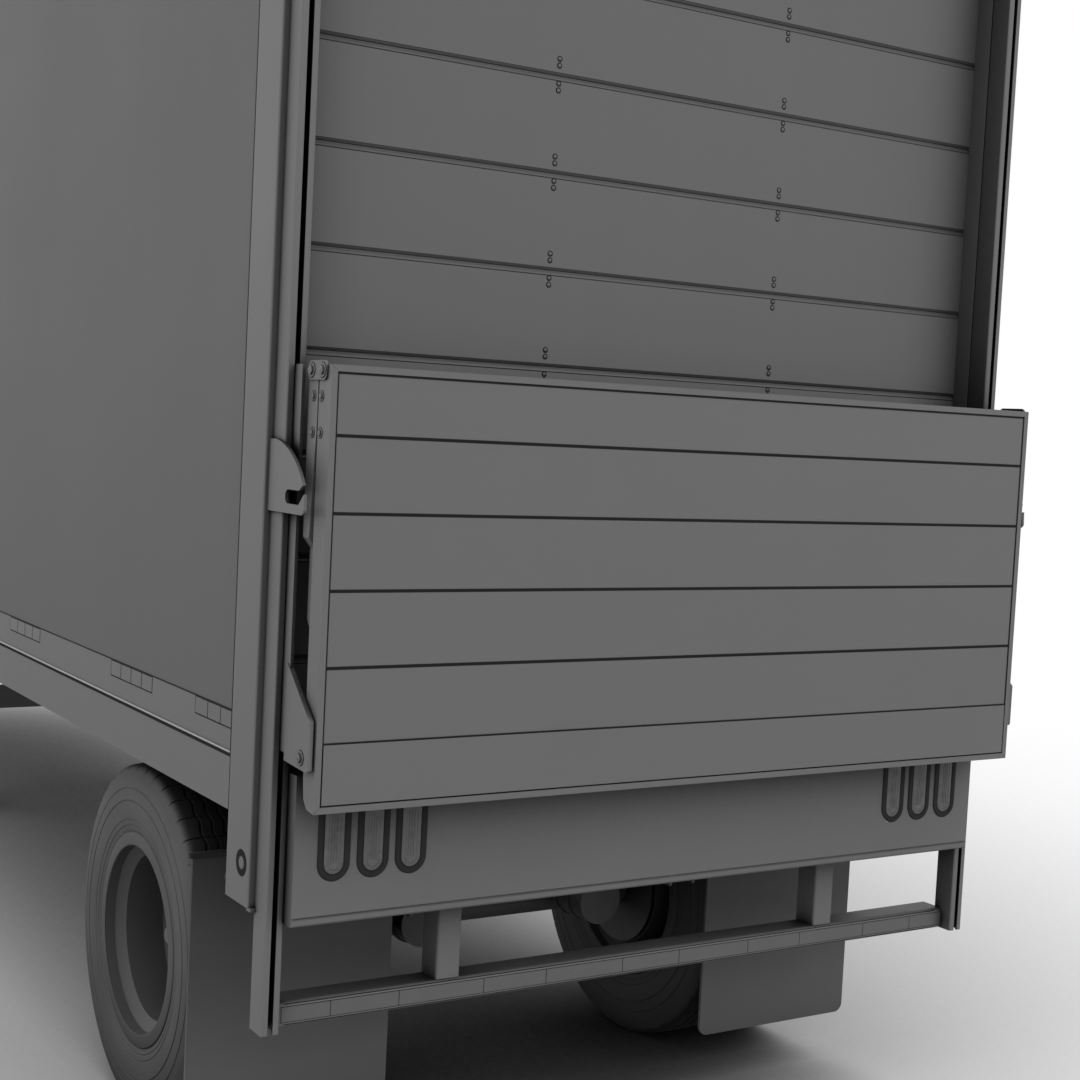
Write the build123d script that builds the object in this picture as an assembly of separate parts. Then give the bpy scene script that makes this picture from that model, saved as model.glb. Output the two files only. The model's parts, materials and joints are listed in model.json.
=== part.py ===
from build123d import *
import math
import os

# A 28-foot single-axle pup trailer: dry van box, roll-up rear door and a rail lift gate
# with a two-section folding platform.  Millimetres.  +X right, +Y towards the tractor, +Z up.
# The origin is on the floor under the middle of the overall length.  Pieces are modelled on
# the right-hand side and mirrored to the left.

# ---------------------------------------------------------------- overall sizes
BODY_LENGTH = 8534
BODY_WIDTH = 2438
BODY_HEIGHT = 4115
FLOOR_TOP = 1235
ROOF_CROWN = 12
SEAT = 0.3                  # gap of a piece that lies on its seat
TOUCH = 0.2                 # gap left between pieces that lie against each other

# ---------------------------------------------------------------- box body
WALL = 30
WALL_INSET = 10             # wall skin stands this far inside the overall width
SILL_BOTTOM = 1104          # underside of the bottom rails and rear sill
SKIRT_TOP = 1238            # ledge where the skirt meets the upper flange of the bottom rail
FLANGE_TOP = 1353
FLANGE = 3
SHELF = 8
SHELF_REACH = 60
FLOOR_THICK = 28
TOP_RAIL_DROP = 82
TOP_RAIL_LAP = 55           # height of the wall behind the top rail's flange
TOP_RAIL_LIP = 12
TOP_RAIL_BEVEL = 14
ROOF_THICK = 20
CORNER_R = 110
BEAM_PITCH = 305
FIRST_BEAM_GAP = 200
BEAM_FLANGE = 57
BEAM_WEB = 5
BEAM_T = 7
BEAM_END_GAP = 2

# ---------------------------------------------------------------- upper coupler and nose
COUPLER_LENGTH = 1500
COUPLER_PLATE = 10
COUPLER_SIDE_GAP = 4
COUPLER_RIBS = (-900, -520, -180, 180, 520, 900)
KINGPIN_SETBACK = 914
KINGPIN_COLLAR = (36.5, 35)     # radius, length
KINGPIN_NECK = (25.4, 35)
KINGPIN_HEAD = (35.7, 14)
NOSE_PROUD = 70
NOSE_Z = 1500
NOSE_PLATE = (520, 160, 6)      # width, height, thickness
NOSE_SOCKET = (140, 90, 52)
GLADHAND_X = 180
GLADHAND_R = (24, 34)           # stem, cap

# ---------------------------------------------------------------- rear frame and door
POST_WIDTH = 69
POST_DEPTH = 147
POST_WALL = 5
POST_BOTTOM = 886
POST_R = 5
SILL_WALL = 8
PANEL_PITCH = 259
PANEL_COUNT = 10
PANEL_THICK = 25
PANEL_GAP = 0.5
PANEL_LAP = 7               # depth of the rebate along the top of each panel
PANEL_SHOULDER = (14, 5)    # height of the bevel above a seam's lower edge, and its land
PANEL_BEVEL = 5             # bevel along the bottom of each panel
THRESHOLD = 6
THRESHOLD_DEPTH = 50
DOOR_RECESS = 63            # door face behind the rear face of the posts

# ---------------------------------------------------------------- lift rails
RAIL_DEPTH = 70
RAIL_WIDTH = 49
RAIL_BOTTOM = 581
RAIL_TOP = 3700
RAIL_WALL = 7
RAIL_LIP = 7                # depth of the lips beside the slot
RAIL_R = 5
SLOT = 14
RAIL_INSET = 19             # outer face of the rail inside the outer face of the post

# ---------------------------------------------------------------- bed apron and tail lamps
APRON_STANDOFF = 42         # rear face of the apron behind the rear plane of the rails
APRON_BOTTOM = 858
APRON_SHEET = 6
APRON_BEVEL = 5
APRON_NOTCH = (20, 3, 4)    # groove above the lower edge: height, depth, half width
APRON_RETURN = 20           # bottom flange ends this far ahead of the rear plane of the rails
APRON_RIBS = (-700, 0, 700)
LAMP_WIDTH = 89
LAMP_LENGTH = 193
LAMP_BOTTOM = 965
LAMP_X = (828, 935, 1043)
LAMP_DEPTH = 25
LAMP_FIT = 0.5

# ---------------------------------------------------------------- folding platform
PLATFORM_HALF = 1164
PLATFORM_BOTTOM = 1168
PLATFORM_TOP = 2232
PLATFORM_BACK = 171         # rear face of the folded platform behind the rails
PLATFORM_THICK = 65
PLANK_PITCH = 183.3
PLANK_COUNT = 5             # above the heel
PLANK_GAP = 1
PLANK_WALL = 5
PLANK_R = 3.5
PLANK_INSET = 2             # planks stand this far inside the faces of the frame
HEEL_HEIGHT = 165
HEEL_SLOPE = (40, 4)        # underside of the heel: length, rise
HEEL_NOSE = (6, 25, 75)     # slanted front of the heel: run, height of its foot and its head
EDGE_BEVEL = 10             # bevel where the two deck surfaces face each other at the top
HEEL_GROOVE = (4, 5)        # groove round the heel's rear face: width, depth
MITRE_GROOVE = 1
BORDER = 16
EXT_GAP = 6
EXT_THICK = 52
EXT_TIP = 18
EXT_TAPER = 480             # height over which the extension thins down to its tip
EXT_CLIP = (20, 192, 26)    # narrowing of its lower corners: width, height, slope above
EXT_NOSE = (15, 17)         # bevel on the front edge of the tip
EXT_BOTTOM = 1602
PIVOT_BACK = 155.5          # main hinge behind the rails
PIVOT_Z = 1276
HINGE_R = 6.5
HINGE_HOLE = 44             # depth of the hinge hole in the end of the heel
LINK_PIN_R = 9
LINK_HOLE = 15
LINK_T = 5
LINK_HEIGHT = 46
LINK_END = 20               # link plate beyond each of its pins
LINK_R = 14
LINK_DEPTH = 27             # link hinges below the two facing deck surfaces
LINK_HINGE_Z = 2218

# ---------------------------------------------------------------- runners and lock hooks
RUNNER_T = 8
RUNNER_PROUD = 40           # runner plate behind the rear plane of the rails
RUNNER_BOTTOM = 1292
SHOE_FIT = 0.4              # running gap of the runner in its rail
BRACKET_T = 12
BRACKET_FRONT = 28          # front edge of the hinge bracket behind the rails
BRACKET_LOW = 1274
BRACKET_TOP = 1512
BRACKET_SHOULDER = 1390
BRACKET_EDGE = 2.5          # metal left round the hinge pin
HOOK_T = 8
HOOK_TOP = 2050
HOOK_BOTTOM = 1875
HOOK_REACH = 142
HOOK_SLOT = (1898, 1932)
HOOK_SLOT_END = 33          # blind end of the slot behind the rails
HOOK_CROWN = 31             # flat top ends this far ahead of the rear plane of the rails
HOOK_NOSE = (133, 14)       # nose behind the rails and above the slot
HOOK_ARC = (68, 38)         # sloping edge: a point behind the rails and below the top
HOOK_MOUTH = 111
HOOK_TOE = (2, 7)           # lean of the toe's rear edge, and its top below the slot's top
HOOK_TOE_R = (12, 19)       # rounding of the lower corner: height, length

# ---------------------------------------------------------------- underride guard and flaps
GUARD_BACK = 40
GUARD_DEPTH = 90
GUARD_HEIGHT = 64
GUARD_WALL = 5
GUARD_R = 12
STRUT_X = 652
STRUT_WIDTH = 72
STRUT_WALL = 6
STRUT_R = 7
FLAP_Y = 520
FLAP_X = (575, 1190)
FLAP_BOTTOM = 155
FLAP_TOP = 912
FLAP_THICK = 10
FLAP_R = 30
HANGER_T = 8
HANGER_BAR = (60, 4)        # flap bar below and above the top edge of the flap
HANGER_POST = 60
HANGER_FOOT = 10

# ---------------------------------------------------------------- wheels
AXLE_Y = 1060               # ahead of the rear plane of the rails
TYRE_R = 525
TYRE_WIDTH = 250
DUAL_SPACING = 292
DUAL_CENTRE = 887           # plane where the two disc wheels meet
BEAD_HALF = 104
RIM_R = 286
RIM_HALF = 105
RIM_T = 8
RIM_WELL = 32
RIM_FLANGE = 12
HAND_HOLE_R = 24
HAND_HOLE_RING = 205
HAND_HOLE_COUNT = 8
DRUM = (620, 812)           # inner and outer end of the brake drum
DRUM_R = 208
DRUM_WALL = 10
HUB_R = 110
HUB_END = 1000
HUB_CAP_R = 70
SPINDLE_R = 40
SPINDLE = (720, 952)        # bore of the hub
SPINDLE_END = 945
HUB_CLEARANCE = 0.3

# ---------------------------------------------------------------- axle and suspension
AXLE_R = 63.5
BACKPLATE = (200, 6, 10)    # radius, thickness, gap to the drum
SPRING_X = 470
SPRING_WIDTH = 76
SPRING_RISE = 60
SPRING_LEAF = 16
SPRING_HALF = 520
SPRING_LEAVES = (260, 390, 520)     # half length of each leaf, from the bottom up
SPRING_LOW = TYRE_R + 92
SEAT_HALF = (45, 70)        # spring seat on the axle: half width, half length
CLAMP = (42, 65, 16)        # clamp plate: half width, half length, thickness
CHAMBER_X = 330
CHAMBER_Z = TYRE_R + 40
CHAMBER_R = 78
CHAMBER_LENGTH = 170
CHAMBER_GAP = 60            # front end of the chamber behind the axle tube
CHAMBER_BAND = (84, 12)     # radius, length of the clamp bands
CHAMBER_BANDS = (100, 20)   # their places behind the chamber's front end
CHAMBER_ROD = (9, 48, 50)   # radius, reach, height above the chamber's middle
CHAMBER_PLATE = (30, 10, 50, 40)    # half width, thickness, height below and above the middle
CHAMBER_ARM = 12
SUBFRAME_BEHIND = 260       # ends of the subframe ahead of the rails and of the axle
SUBFRAME_AHEAD = 900
SUBFRAME_DROP = 130
SUBFRAME_WALL = 6
SUBFRAME_FLANGE = 8
TIE = (80, 60, 5)
TIE_FROM_AXLE = 450
HANGER_TOP = 90             # half length of a spring hanger at its top and at its bottom
HANGER_LOW = 50
HANGER_CHEEK = 10
HANGER_BELOW = 40           # cheeks below the spring's end
TANK_R = 120
TANK_HALF = 330
TANK_Y = 1500               # ahead of the axle
TANK_DROP = 18              # strap and saddle above the tank

# ---------------------------------------------------------------- landing gear
LEGS_Y = 5300               # ahead of the rear plane of the rails
LEG_X = 610
LEG_OUTER = 125
LEG_INNER = 105
LEG_FIT = 0.4
LEG_LOW = 430
LEG_LAP = 150               # inner leg inside the outer one
LEG_PLATE = (60, 150, 12)   # mounting plate: beside the leg, half length, thickness
SHOE = 254
SHOE_R = 25
FOOT = 14
FOOT_CHEEK = (12, 45, 120)  # thickness, half length, top
FOOT_PIN = (14, 90)
LEG_FOOT_BOTTOM = 70
BRACE = (505, 620, 30, 6)   # bottom, top, half depth, wall
CRANK_Z = 900
CRANK_R = 12
CRANK_EYE = 14
CRANK_ARM = 250
CRANK_PLANE = 150           # crank arm inside the overall width
CRANK_GRIP = 30
GEARBOX = (70, 60, 130)     # reach inside the leg, half depth, height

# ---------------------------------------------------------------- places worked out from these
HALF = BODY_WIDTH / 2
REACH = PLATFORM_BACK + RAIL_DEPTH + BODY_LENGTH + NOSE_PROUD
RAIL_Y = -REACH / 2 + PLATFORM_BACK       # rear plane of the lift rails
BACK = RAIL_Y + RAIL_DEPTH                # rear face of the body
FRONT = BACK + BODY_LENGTH
AXLE = RAIL_Y + AXLE_Y
LEGS = RAIL_Y + LEGS_Y
KINGPIN_Y = FRONT - KINGPIN_SETBACK
OPENING = HALF - POST_WIDTH               # half width of the rear opening
SKIN = HALF - WALL_INSET
POST_FRONT = BACK + POST_DEPTH
RAIL_OUT = HALF - RAIL_INSET
RAIL_IN = RAIL_OUT - RAIL_WIDTH
SLOT_X = (RAIL_OUT + RAIL_IN) / 2
TOP_RAIL = BODY_HEIGHT - ROOF_CROWN
TOP_RAIL_LOW = TOP_RAIL - TOP_RAIL_DROP
WALL_TOP = TOP_RAIL_LOW + TOP_RAIL_LAP
DOOR_BOTTOM = FLOOR_TOP + THRESHOLD
DOOR_TOP = DOOR_BOTTOM + PANEL_COUNT * PANEL_PITCH
BEAM_TOP = FLOOR_TOP - FLOOR_THICK
BEAM_BOTTOM = SILL_BOTTOM + SHELF
FIRST_BEAM = POST_FRONT + FIRST_BEAM_GAP
COUPLER_BACK = FRONT - WALL - COUPLER_LENGTH
COUPLER_HALF = SKIN - SHELF_REACH - COUPLER_SIDE_GAP
APRON_REAR = RAIL_Y - APRON_STANDOFF
LAMP_Z = LAMP_BOTTOM + LAMP_LENGTH / 2
HEEL_TOP = PLATFORM_BOTTOM + HEEL_HEIGHT
PLATFORM_REAR = RAIL_Y - PLATFORM_BACK
PLATFORM_FRONT = PLATFORM_REAR + PLATFORM_THICK
PIVOT_Y = RAIL_Y - PIVOT_BACK
LINK_MAIN_Y = PLATFORM_FRONT - LINK_DEPTH
LINK_EXT_Y = PLATFORM_FRONT + EXT_GAP + LINK_DEPTH
SUBFRAME = (RAIL_Y + SUBFRAME_BEHIND, AXLE + SUBFRAME_AHEAD)
SUBFRAME_BOTTOM = SILL_BOTTOM - SUBFRAME_DROP
SPRING_TOP = SPRING_LOW + len(SPRING_LEAVES) * SPRING_LEAF


# ---------------------------------------------------------------- small helpers
def block(x, y, z):
    size = [high - low for low, high in (x, y, z)]
    middle = [(high + low) / 2 for low, high in (x, y, z)]
    return Pos(*middle) * Box(*size)


def outline(points):
    return make_face(Polyline(*points, close=True))


def along_x(face, start, end):
    return extrude(Plane.YZ.offset(start) * face, end - start)


def along_y(face, start, end):
    plane = Plane(origin=(0, end, 0), x_dir=(1, 0, 0), z_dir=(0, -1, 0))
    return extrude(plane * face, end - start)


def along_z(face, start, end):
    return extrude(Plane.XY.offset(start) * face, end - start)


def rod_x(radius, start, end, y, z):
    return Pos((start + end) / 2, y, z) * Rot(0, 90, 0) * Cylinder(radius, end - start)


def rod_y(radius, start, end, x, z):
    return Pos(x, (start + end) / 2, z) * Rot(90, 0, 0) * Cylinder(radius, end - start)


def rod_z(radius, start, end, x, y):
    return Pos(x, y, (start + end) / 2) * Cylinder(radius, end - start)


def mirrored(shape):
    return mirror(shape, about=Plane.YZ)


def both_sides(shape):
    return [shape, mirrored(shape)]


def turned_x(points, y, z):
    """A solid of revolution about the X line through (y, z), from (x, radius) points."""
    face = Plane.XZ * outline(points)
    return Pos(0, y, z) * revolve(face, Axis.X, 360)


def i_beam(height, flange, web, thick):
    face = Rectangle(flange, height)
    hollow = Rectangle((flange - web) / 2, height - 2 * thick)
    shift = (flange + web) / 4
    return face - Pos(shift, 0) * hollow - Pos(-shift, 0) * hollow


PARTS = {}


def add(name, *solids):
    flat = []
    for item in solids:
        flat.extend(item if isinstance(item, list) else [item])
    PARTS[name] = flat[0] if len(flat) == 1 else Compound(children=flat)


# ---------------------------------------------------------------- box body
def side_wall():
    return block((SKIN - WALL, SKIN), (POST_FRONT + TOUCH, FRONT - CORNER_R - TOUCH),
                 (SKIRT_TOP, WALL_TOP))


def bottom_rail():
    seat = SKIRT_TOP - SHELF
    profile = [
        (HALF, SILL_BOTTOM), (HALF, SKIRT_TOP), (SKIN + FLANGE, SKIRT_TOP),
        (SKIN + FLANGE, FLANGE_TOP), (SKIN, FLANGE_TOP), (SKIN, SKIRT_TOP - TOUCH),
        (SKIN - WALL, SKIRT_TOP - TOUCH), (SKIN - WALL, seat), (SKIN, seat),
        (SKIN, SILL_BOTTOM + SHELF), (SKIN - SHELF_REACH, SILL_BOTTOM + SHELF),
        (SKIN - SHELF_REACH, SILL_BOTTOM),
    ]
    return along_y(outline(profile), POST_FRONT + TOUCH, FRONT - CORNER_R)


def top_rail():
    profile = [
        (HALF, TOP_RAIL_LOW + TOP_RAIL_LIP), (HALF, TOP_RAIL - TOP_RAIL_BEVEL),
        (HALF - TOP_RAIL_BEVEL, TOP_RAIL), (SKIN - WALL, TOP_RAIL),
        (SKIN - WALL, WALL_TOP + TOUCH), (SKIN, WALL_TOP + TOUCH), (SKIN, TOP_RAIL_LOW),
        (SKIN + FLANGE, TOP_RAIL_LOW), (SKIN + FLANGE, TOP_RAIL_LOW + TOP_RAIL_LIP),
    ]
    return along_y(outline(profile), POST_FRONT + TOUCH, FRONT - CORNER_R)


def front_wall():
    half = HALF - CORNER_R
    return block((-half + TOUCH, half - TOUCH), (FRONT - WALL, FRONT), (SILL_BOTTOM, TOP_RAIL))


def front_corner_post():
    x, y = HALF - CORNER_R, FRONT - CORNER_R
    ring = Circle(CORNER_R) - Circle(CORNER_R - WALL)
    quarter = ring & Pos(CORNER_R / 2, CORNER_R / 2) * Rectangle(CORNER_R, CORNER_R)
    return along_z(Pos(x, y) * quarter, SILL_BOTTOM, TOP_RAIL)


def roof_panel():
    half = SKIN - WALL - TOUCH
    low = TOP_RAIL - ROOF_THICK
    upper = ThreePointArc((-half, TOP_RAIL), (0, BODY_HEIGHT), (half, TOP_RAIL))
    lower = ThreePointArc((half, low), (0, BODY_HEIGHT - ROOF_THICK), (-half, low))
    right_edge = Line((half, TOP_RAIL), (half, low))
    left_edge = Line((-half, low), (-half, TOP_RAIL))
    face = make_face([upper, right_edge, lower, left_edge])
    panel = along_y(face, POST_FRONT + TOUCH, FRONT - WALL - TOUCH)
    return panel & inner_plan(BODY_HEIGHT)


def inner_plan(height):
    """The plan inside the walls, as a tall block with the two cut front corners."""
    back, front = POST_FRONT, FRONT - WALL - TOUCH
    plan = Rectangle(2 * (SKIN - WALL - TOUCH), front - back)
    plan = chamfer(plan.vertices().sort_by(Axis.Y)[-2:], CORNER_R - WALL)
    return along_z(Pos(0, (front + back) / 2) * plan, 0, height)


def floor_deck():
    half = SKIN - WALL
    deck = block((-half, half), (POST_FRONT, FRONT), (BEAM_TOP, FLOOR_TOP))
    return deck & inner_plan(BODY_HEIGHT)


def floor_crossmembers():
    section = i_beam(BEAM_TOP - BEAM_BOTTOM - TOUCH, BEAM_FLANGE, BEAM_WEB, BEAM_T)
    half = SKIN - BEAM_END_GAP
    middle = (BEAM_TOP + BEAM_BOTTOM) / 2
    last = COUPLER_BACK - BEAM_FLANGE
    count = int((last - FIRST_BEAM) / BEAM_PITCH) + 1
    return [along_x(Pos(FIRST_BEAM + i * BEAM_PITCH, middle) * section, -half, half)
            for i in range(count)]


def upper_coupler():
    back, front = COUPLER_BACK, FRONT - WALL - TOUCH
    across = (-COUPLER_HALF, COUPLER_HALF)
    height = (SILL_BOTTOM, BEAM_TOP - TOUCH)
    body = block(across, (back, front), (SILL_BOTTOM, SILL_BOTTOM + COUPLER_PLATE))
    for x in COUPLER_RIBS:
        body += block((x - COUPLER_PLATE / 2, x + COUPLER_PLATE / 2), (back, front), height)
    for y in (back, (back + front) / 2, front - COUPLER_PLATE):
        body += block(across, (y, y + COUPLER_PLATE), height)
    inside = CORNER_R + COUPLER_SIDE_GAP
    corner = block((HALF - inside, HALF), (FRONT - inside, FRONT), (SILL_BOTTOM, BEAM_TOP))
    return body - corner - mirrored(corner)


def kingpin():
    z = SILL_BOTTOM - TOUCH
    pieces = []
    for radius, length in (KINGPIN_COLLAR, KINGPIN_NECK, KINGPIN_HEAD):
        pieces.append(rod_z(radius, z - length, z, 0, KINGPIN_Y))
        z -= length
    return pieces[0] + pieces[1] + pieces[2]


def nose_connectors():
    start = FRONT + TOUCH
    width, height, thick = NOSE_PLATE
    across, tall, depth = NOSE_SOCKET
    plate = block((-width / 2, width / 2), (start, start + thick),
                  (NOSE_Z - height / 2, NOSE_Z + height / 2))
    plate += block((-across / 2, across / 2), (start, start + depth),
                   (NOSE_Z - tall / 2, NOSE_Z + tall / 2))
    stem, cap = GLADHAND_R
    for x in (-GLADHAND_X, GLADHAND_X):
        plate += rod_y(stem, start, start + depth, x, NOSE_Z)
        plate += rod_y(cap, start + depth - stem / 2, FRONT + NOSE_PROUD, x, NOSE_Z)
    return plate


# ---------------------------------------------------------------- rear frame and door
def rear_post():
    section = Rectangle(POST_WIDTH, POST_DEPTH)
    section = fillet(section.vertices(), POST_R)
    section -= Rectangle(POST_WIDTH - 2 * POST_WALL, POST_DEPTH - 2 * POST_WALL)
    place = Pos(HALF - POST_WIDTH / 2, BACK + POST_DEPTH / 2)
    return along_z(place * section, POST_BOTTOM, TOP_RAIL)


def rear_header():
    half = OPENING - TOUCH
    return block((-half, half), (BACK, POST_FRONT), (DOOR_TOP + BEAM_END_GAP, TOP_RAIL))


def rear_sill():
    across = (-OPENING + TOUCH, OPENING - TOUCH)
    body = block(across, (BACK, POST_FRONT - TOUCH), (SILL_BOTTOM, FLOOR_TOP))
    body -= block(across, (BACK + SILL_WALL, POST_FRONT - SILL_WALL),
                  (SILL_BOTTOM, FLOOR_TOP - SILL_WALL))
    back = BACK + DOOR_RECESS - PANEL_BEVEL
    return body + block(across, (back, back + THRESHOLD_DEPTH), (FLOOR_TOP, DOOR_BOTTOM - SEAT))


def roll_up_door():
    """Panels with a bevelled shoulder above each seam and a bevel below it."""
    half = OPENING - SEAT
    face = BACK + DOOR_RECESS
    shoulder, land = PANEL_SHOULDER
    panels = []
    for i in range(PANEL_COUNT):
        low = DOOR_BOTTOM + i * PANEL_PITCH
        high = low + PANEL_PITCH - PANEL_GAP
        profile = [
            (face + PANEL_BEVEL, low), (face, low + PANEL_BEVEL), (face, high - shoulder),
            (face + PANEL_LAP, high - land), (face + PANEL_LAP, high),
            (face + PANEL_THICK, high), (face + PANEL_THICK, low),
        ]
        panels.append(along_x(outline(profile), -half, half))
    return panels


# ---------------------------------------------------------------- lift rails and apron
def lift_rail():
    section = Rectangle(RAIL_WIDTH, RAIL_DEPTH)
    section = fillet(section.vertices().sort_by(Axis.Y)[:2], RAIL_R)
    section -= Rectangle(RAIL_WIDTH - 2 * RAIL_WALL, RAIL_DEPTH - 2 * RAIL_LIP)
    section -= Pos(0, -RAIL_DEPTH / 2) * Rectangle(SLOT, 4 * RAIL_LIP)
    place = Pos(SLOT_X, RAIL_Y + RAIL_DEPTH / 2)
    return along_z(place * section, RAIL_BOTTOM, RAIL_TOP)


def apron_section():
    """Bent sheet from the bed plate down to a grooved lower edge and its bottom flange."""
    rear, sheet = APRON_REAR, APRON_SHEET
    height, depth, half = APRON_NOTCH
    notch = APRON_BOTTOM + height
    end = RAIL_Y + APRON_RETURN
    shelf = SILL_BOTTOM + BEAM_END_GAP
    return outline([
        (BACK - TOUCH, FLOOR_TOP), (rear, FLOOR_TOP), (rear, notch + half), (rear + depth, notch),
        (rear, notch - half), (rear, APRON_BOTTOM + APRON_BEVEL),
        (rear + APRON_BEVEL, APRON_BOTTOM), (end, APRON_BOTTOM), (end, APRON_BOTTOM + sheet),
        (rear + 2 * sheet, APRON_BOTTOM + sheet), (rear + sheet, notch - half),
        (rear + sheet, FLOOR_TOP - sheet),
        (BACK - sheet, FLOOR_TOP - sheet), (BACK - sheet, shelf), (BACK - TOUCH, shelf),
    ])


def apron_gusset():
    rear, end = APRON_REAR + 2, RAIL_Y + APRON_RETURN - 2
    return outline([
        (rear, APRON_BOTTOM + APRON_SHEET / 2), (end, APRON_BOTTOM + APRON_SHEET / 2),
        (BACK - APRON_SHEET / 2, SILL_BOTTOM + APRON_RETURN),
        (BACK - APRON_SHEET / 2, FLOOR_TOP - APRON_SHEET / 2),
        (rear, FLOOR_TOP - APRON_SHEET / 2),
    ])


def lamp_outline(spare):
    return SlotOverall(LAMP_LENGTH + spare, LAMP_WIDTH + spare, rotation=90)


def bed_apron():
    half = RAIL_IN - TOUCH
    body = along_x(apron_section(), -half, half)
    for x in (-half, *APRON_RIBS, half - APRON_SHEET):
        body += along_x(apron_gusset(), x, x + APRON_SHEET)
    for x in LAMP_X:
        hole = along_y(Pos(x, LAMP_Z) * lamp_outline(0), APRON_REAR - APRON_SHEET,
                       APRON_REAR + 2 * APRON_SHEET)
        for cut in both_sides(hole):
            body -= cut
    return body


def tail_lamps():
    lamps = []
    for x in LAMP_X:
        lens = along_y(Pos(x, LAMP_Z) * lamp_outline(-2 * LAMP_FIT), APRON_REAR + 1,
                       APRON_REAR + 1 + LAMP_DEPTH)
        lamps.extend(both_sides(lens))
    return lamps


def lock_hook():
    """Plate on the side of the rail, with a slot that opens to the rear under a sloping nose."""
    low, high = HOOK_SLOT
    front, back = RAIL_Y + RAIL_DEPTH, RAIL_Y - HOOK_REACH
    crown, nose = (RAIL_Y + HOOK_CROWN, HOOK_TOP), (RAIL_Y - HOOK_NOSE[0], high + HOOK_NOSE[1])
    slope = (RAIL_Y - HOOK_ARC[0], HOOK_TOP - HOOK_ARC[1])
    mouth, throat = RAIL_Y - HOOK_MOUTH, RAIL_Y - HOOK_SLOT_END - (high - low) / 2
    toe = (back + HOOK_TOE[0], high - HOOK_TOE[1])
    rise, run = HOOK_TOE_R
    corner = (back, HOOK_BOTTOM + rise)
    edges = [
        Line((front, HOOK_BOTTOM), (front, HOOK_TOP)),
        Line((front, HOOK_TOP), crown),
        ThreePointArc(crown, slope, nose),
        Line(nose, (mouth, high)),
        Line((mouth, high), (throat, high)),
        ThreePointArc((throat, high), (RAIL_Y - HOOK_SLOT_END, (high + low) / 2), (throat, low)),
        Line((throat, low), (mouth, low)),
        Line((mouth, low), toe),
        Line(toe, corner),
        ThreePointArc(corner, (back + run / 3, HOOK_BOTTOM + rise / 4), (back + run, HOOK_BOTTOM)),
        Line((back + run, HOOK_BOTTOM), (front, HOOK_BOTTOM)),
    ]
    return along_x(make_face(edges), RAIL_OUT + TOUCH, RAIL_OUT + TOUCH + HOOK_T)


# ---------------------------------------------------------------- underride guard and flaps
def guard_bar():
    half = RAIL_IN - TOUCH
    tube = Rectangle(GUARD_DEPTH, GUARD_HEIGHT)
    tube = fillet(tube.vertices(), GUARD_R)
    tube -= Rectangle(GUARD_DEPTH - 2 * GUARD_WALL, GUARD_HEIGHT - 2 * GUARD_WALL)
    middle = Pos(RAIL_Y + GUARD_BACK + GUARD_DEPTH / 2, RAIL_BOTTOM + GUARD_HEIGHT / 2)
    return along_x(middle * tube, -half, half)


def guard_strut():
    depth = GUARD_DEPTH - 2 * GUARD_WALL
    leg = Rectangle(STRUT_WIDTH, depth)
    leg = fillet(leg.vertices().sort_by(Axis.Y)[:2], STRUT_R)
    leg -= Pos(0, STRUT_WALL) * Rectangle(STRUT_WIDTH - 2 * STRUT_WALL, depth)
    place = Pos(STRUT_X, RAIL_Y + GUARD_BACK + GUARD_DEPTH / 2)
    return along_z(place * leg, RAIL_BOTTOM + GUARD_HEIGHT + TOUCH, SILL_BOTTOM - TOUCH)


def mud_flap():
    sheet = Rectangle(FLAP_X[1] - FLAP_X[0], FLAP_TOP - FLAP_BOTTOM)
    sheet = fillet(sheet.vertices().sort_by(Axis.Y)[:2], FLAP_R)
    y = RAIL_Y + FLAP_Y
    middle = Pos(sum(FLAP_X) / 2, (FLAP_TOP + FLAP_BOTTOM) / 2)
    return along_y(middle * sheet, y - FLAP_THICK / 2, y + FLAP_THICK / 2)


def flap_hanger():
    """Bar along the top of a flap, on a post that hangs from the first floor beam."""
    front = RAIL_Y + FLAP_Y + FLAP_THICK / 2
    y = (front + TOUCH, front + HANGER_T)
    below, above = HANGER_BAR
    bar = block((FLAP_X[0] - 10, FLAP_X[1]), y, (FLAP_TOP - below, FLAP_TOP + above))
    x = (FLAP_X[0] + 10, FLAP_X[0] + 10 + HANGER_POST)
    top = BEAM_BOTTOM - TOUCH
    post = block(x, y, (FLAP_TOP - below / 2, top))
    foot = block(x, (FIRST_BEAM - BEAM_FLANGE / 2, y[1]), (top - HANGER_FOOT, top))
    return bar + post + foot


# ---------------------------------------------------------------- lift gate bodies
def runner():
    """Shoe in the rail, plate through its slot, and the bracket with the hinge pin."""
    y_in = RAIL_Y + RAIL_DEPTH - RAIL_LIP - SHOE_FIT
    height = (RUNNER_BOTTOM, PLATFORM_TOP)
    body = block((SLOT_X - RUNNER_T / 2, SLOT_X + RUNNER_T / 2),
                 (RAIL_Y - RUNNER_PROUD, y_in - RAIL_LIP), height)
    head = RAIL_WIDTH / 2 - RAIL_WALL - SHOE_FIT
    body += block((SLOT_X - head, SLOT_X + head), (RAIL_Y + RAIL_LIP + SHOE_FIT, y_in), height)
    x = (SLOT_X - BRACKET_T / 2, SLOT_X + BRACKET_T / 2)
    round_pin = HINGE_R + BRACKET_EDGE
    front, rear, low = RAIL_Y - BRACKET_FRONT, PIVOT_Y - round_pin, PIVOT_Z - round_pin
    bracket = outline([(front, BRACKET_LOW), (front, BRACKET_TOP), (rear, BRACKET_SHOULDER),
                       (rear, PIVOT_Z), (PIVOT_Y, low)])
    body += along_x(bracket, *x)
    body += rod_x(round_pin, *x, PIVOT_Y, PIVOT_Z)
    return body + rod_x(HINGE_R, PLATFORM_HALF - HINGE_HOLE + 4, x[1], PIVOT_Y, PIVOT_Z)


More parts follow.
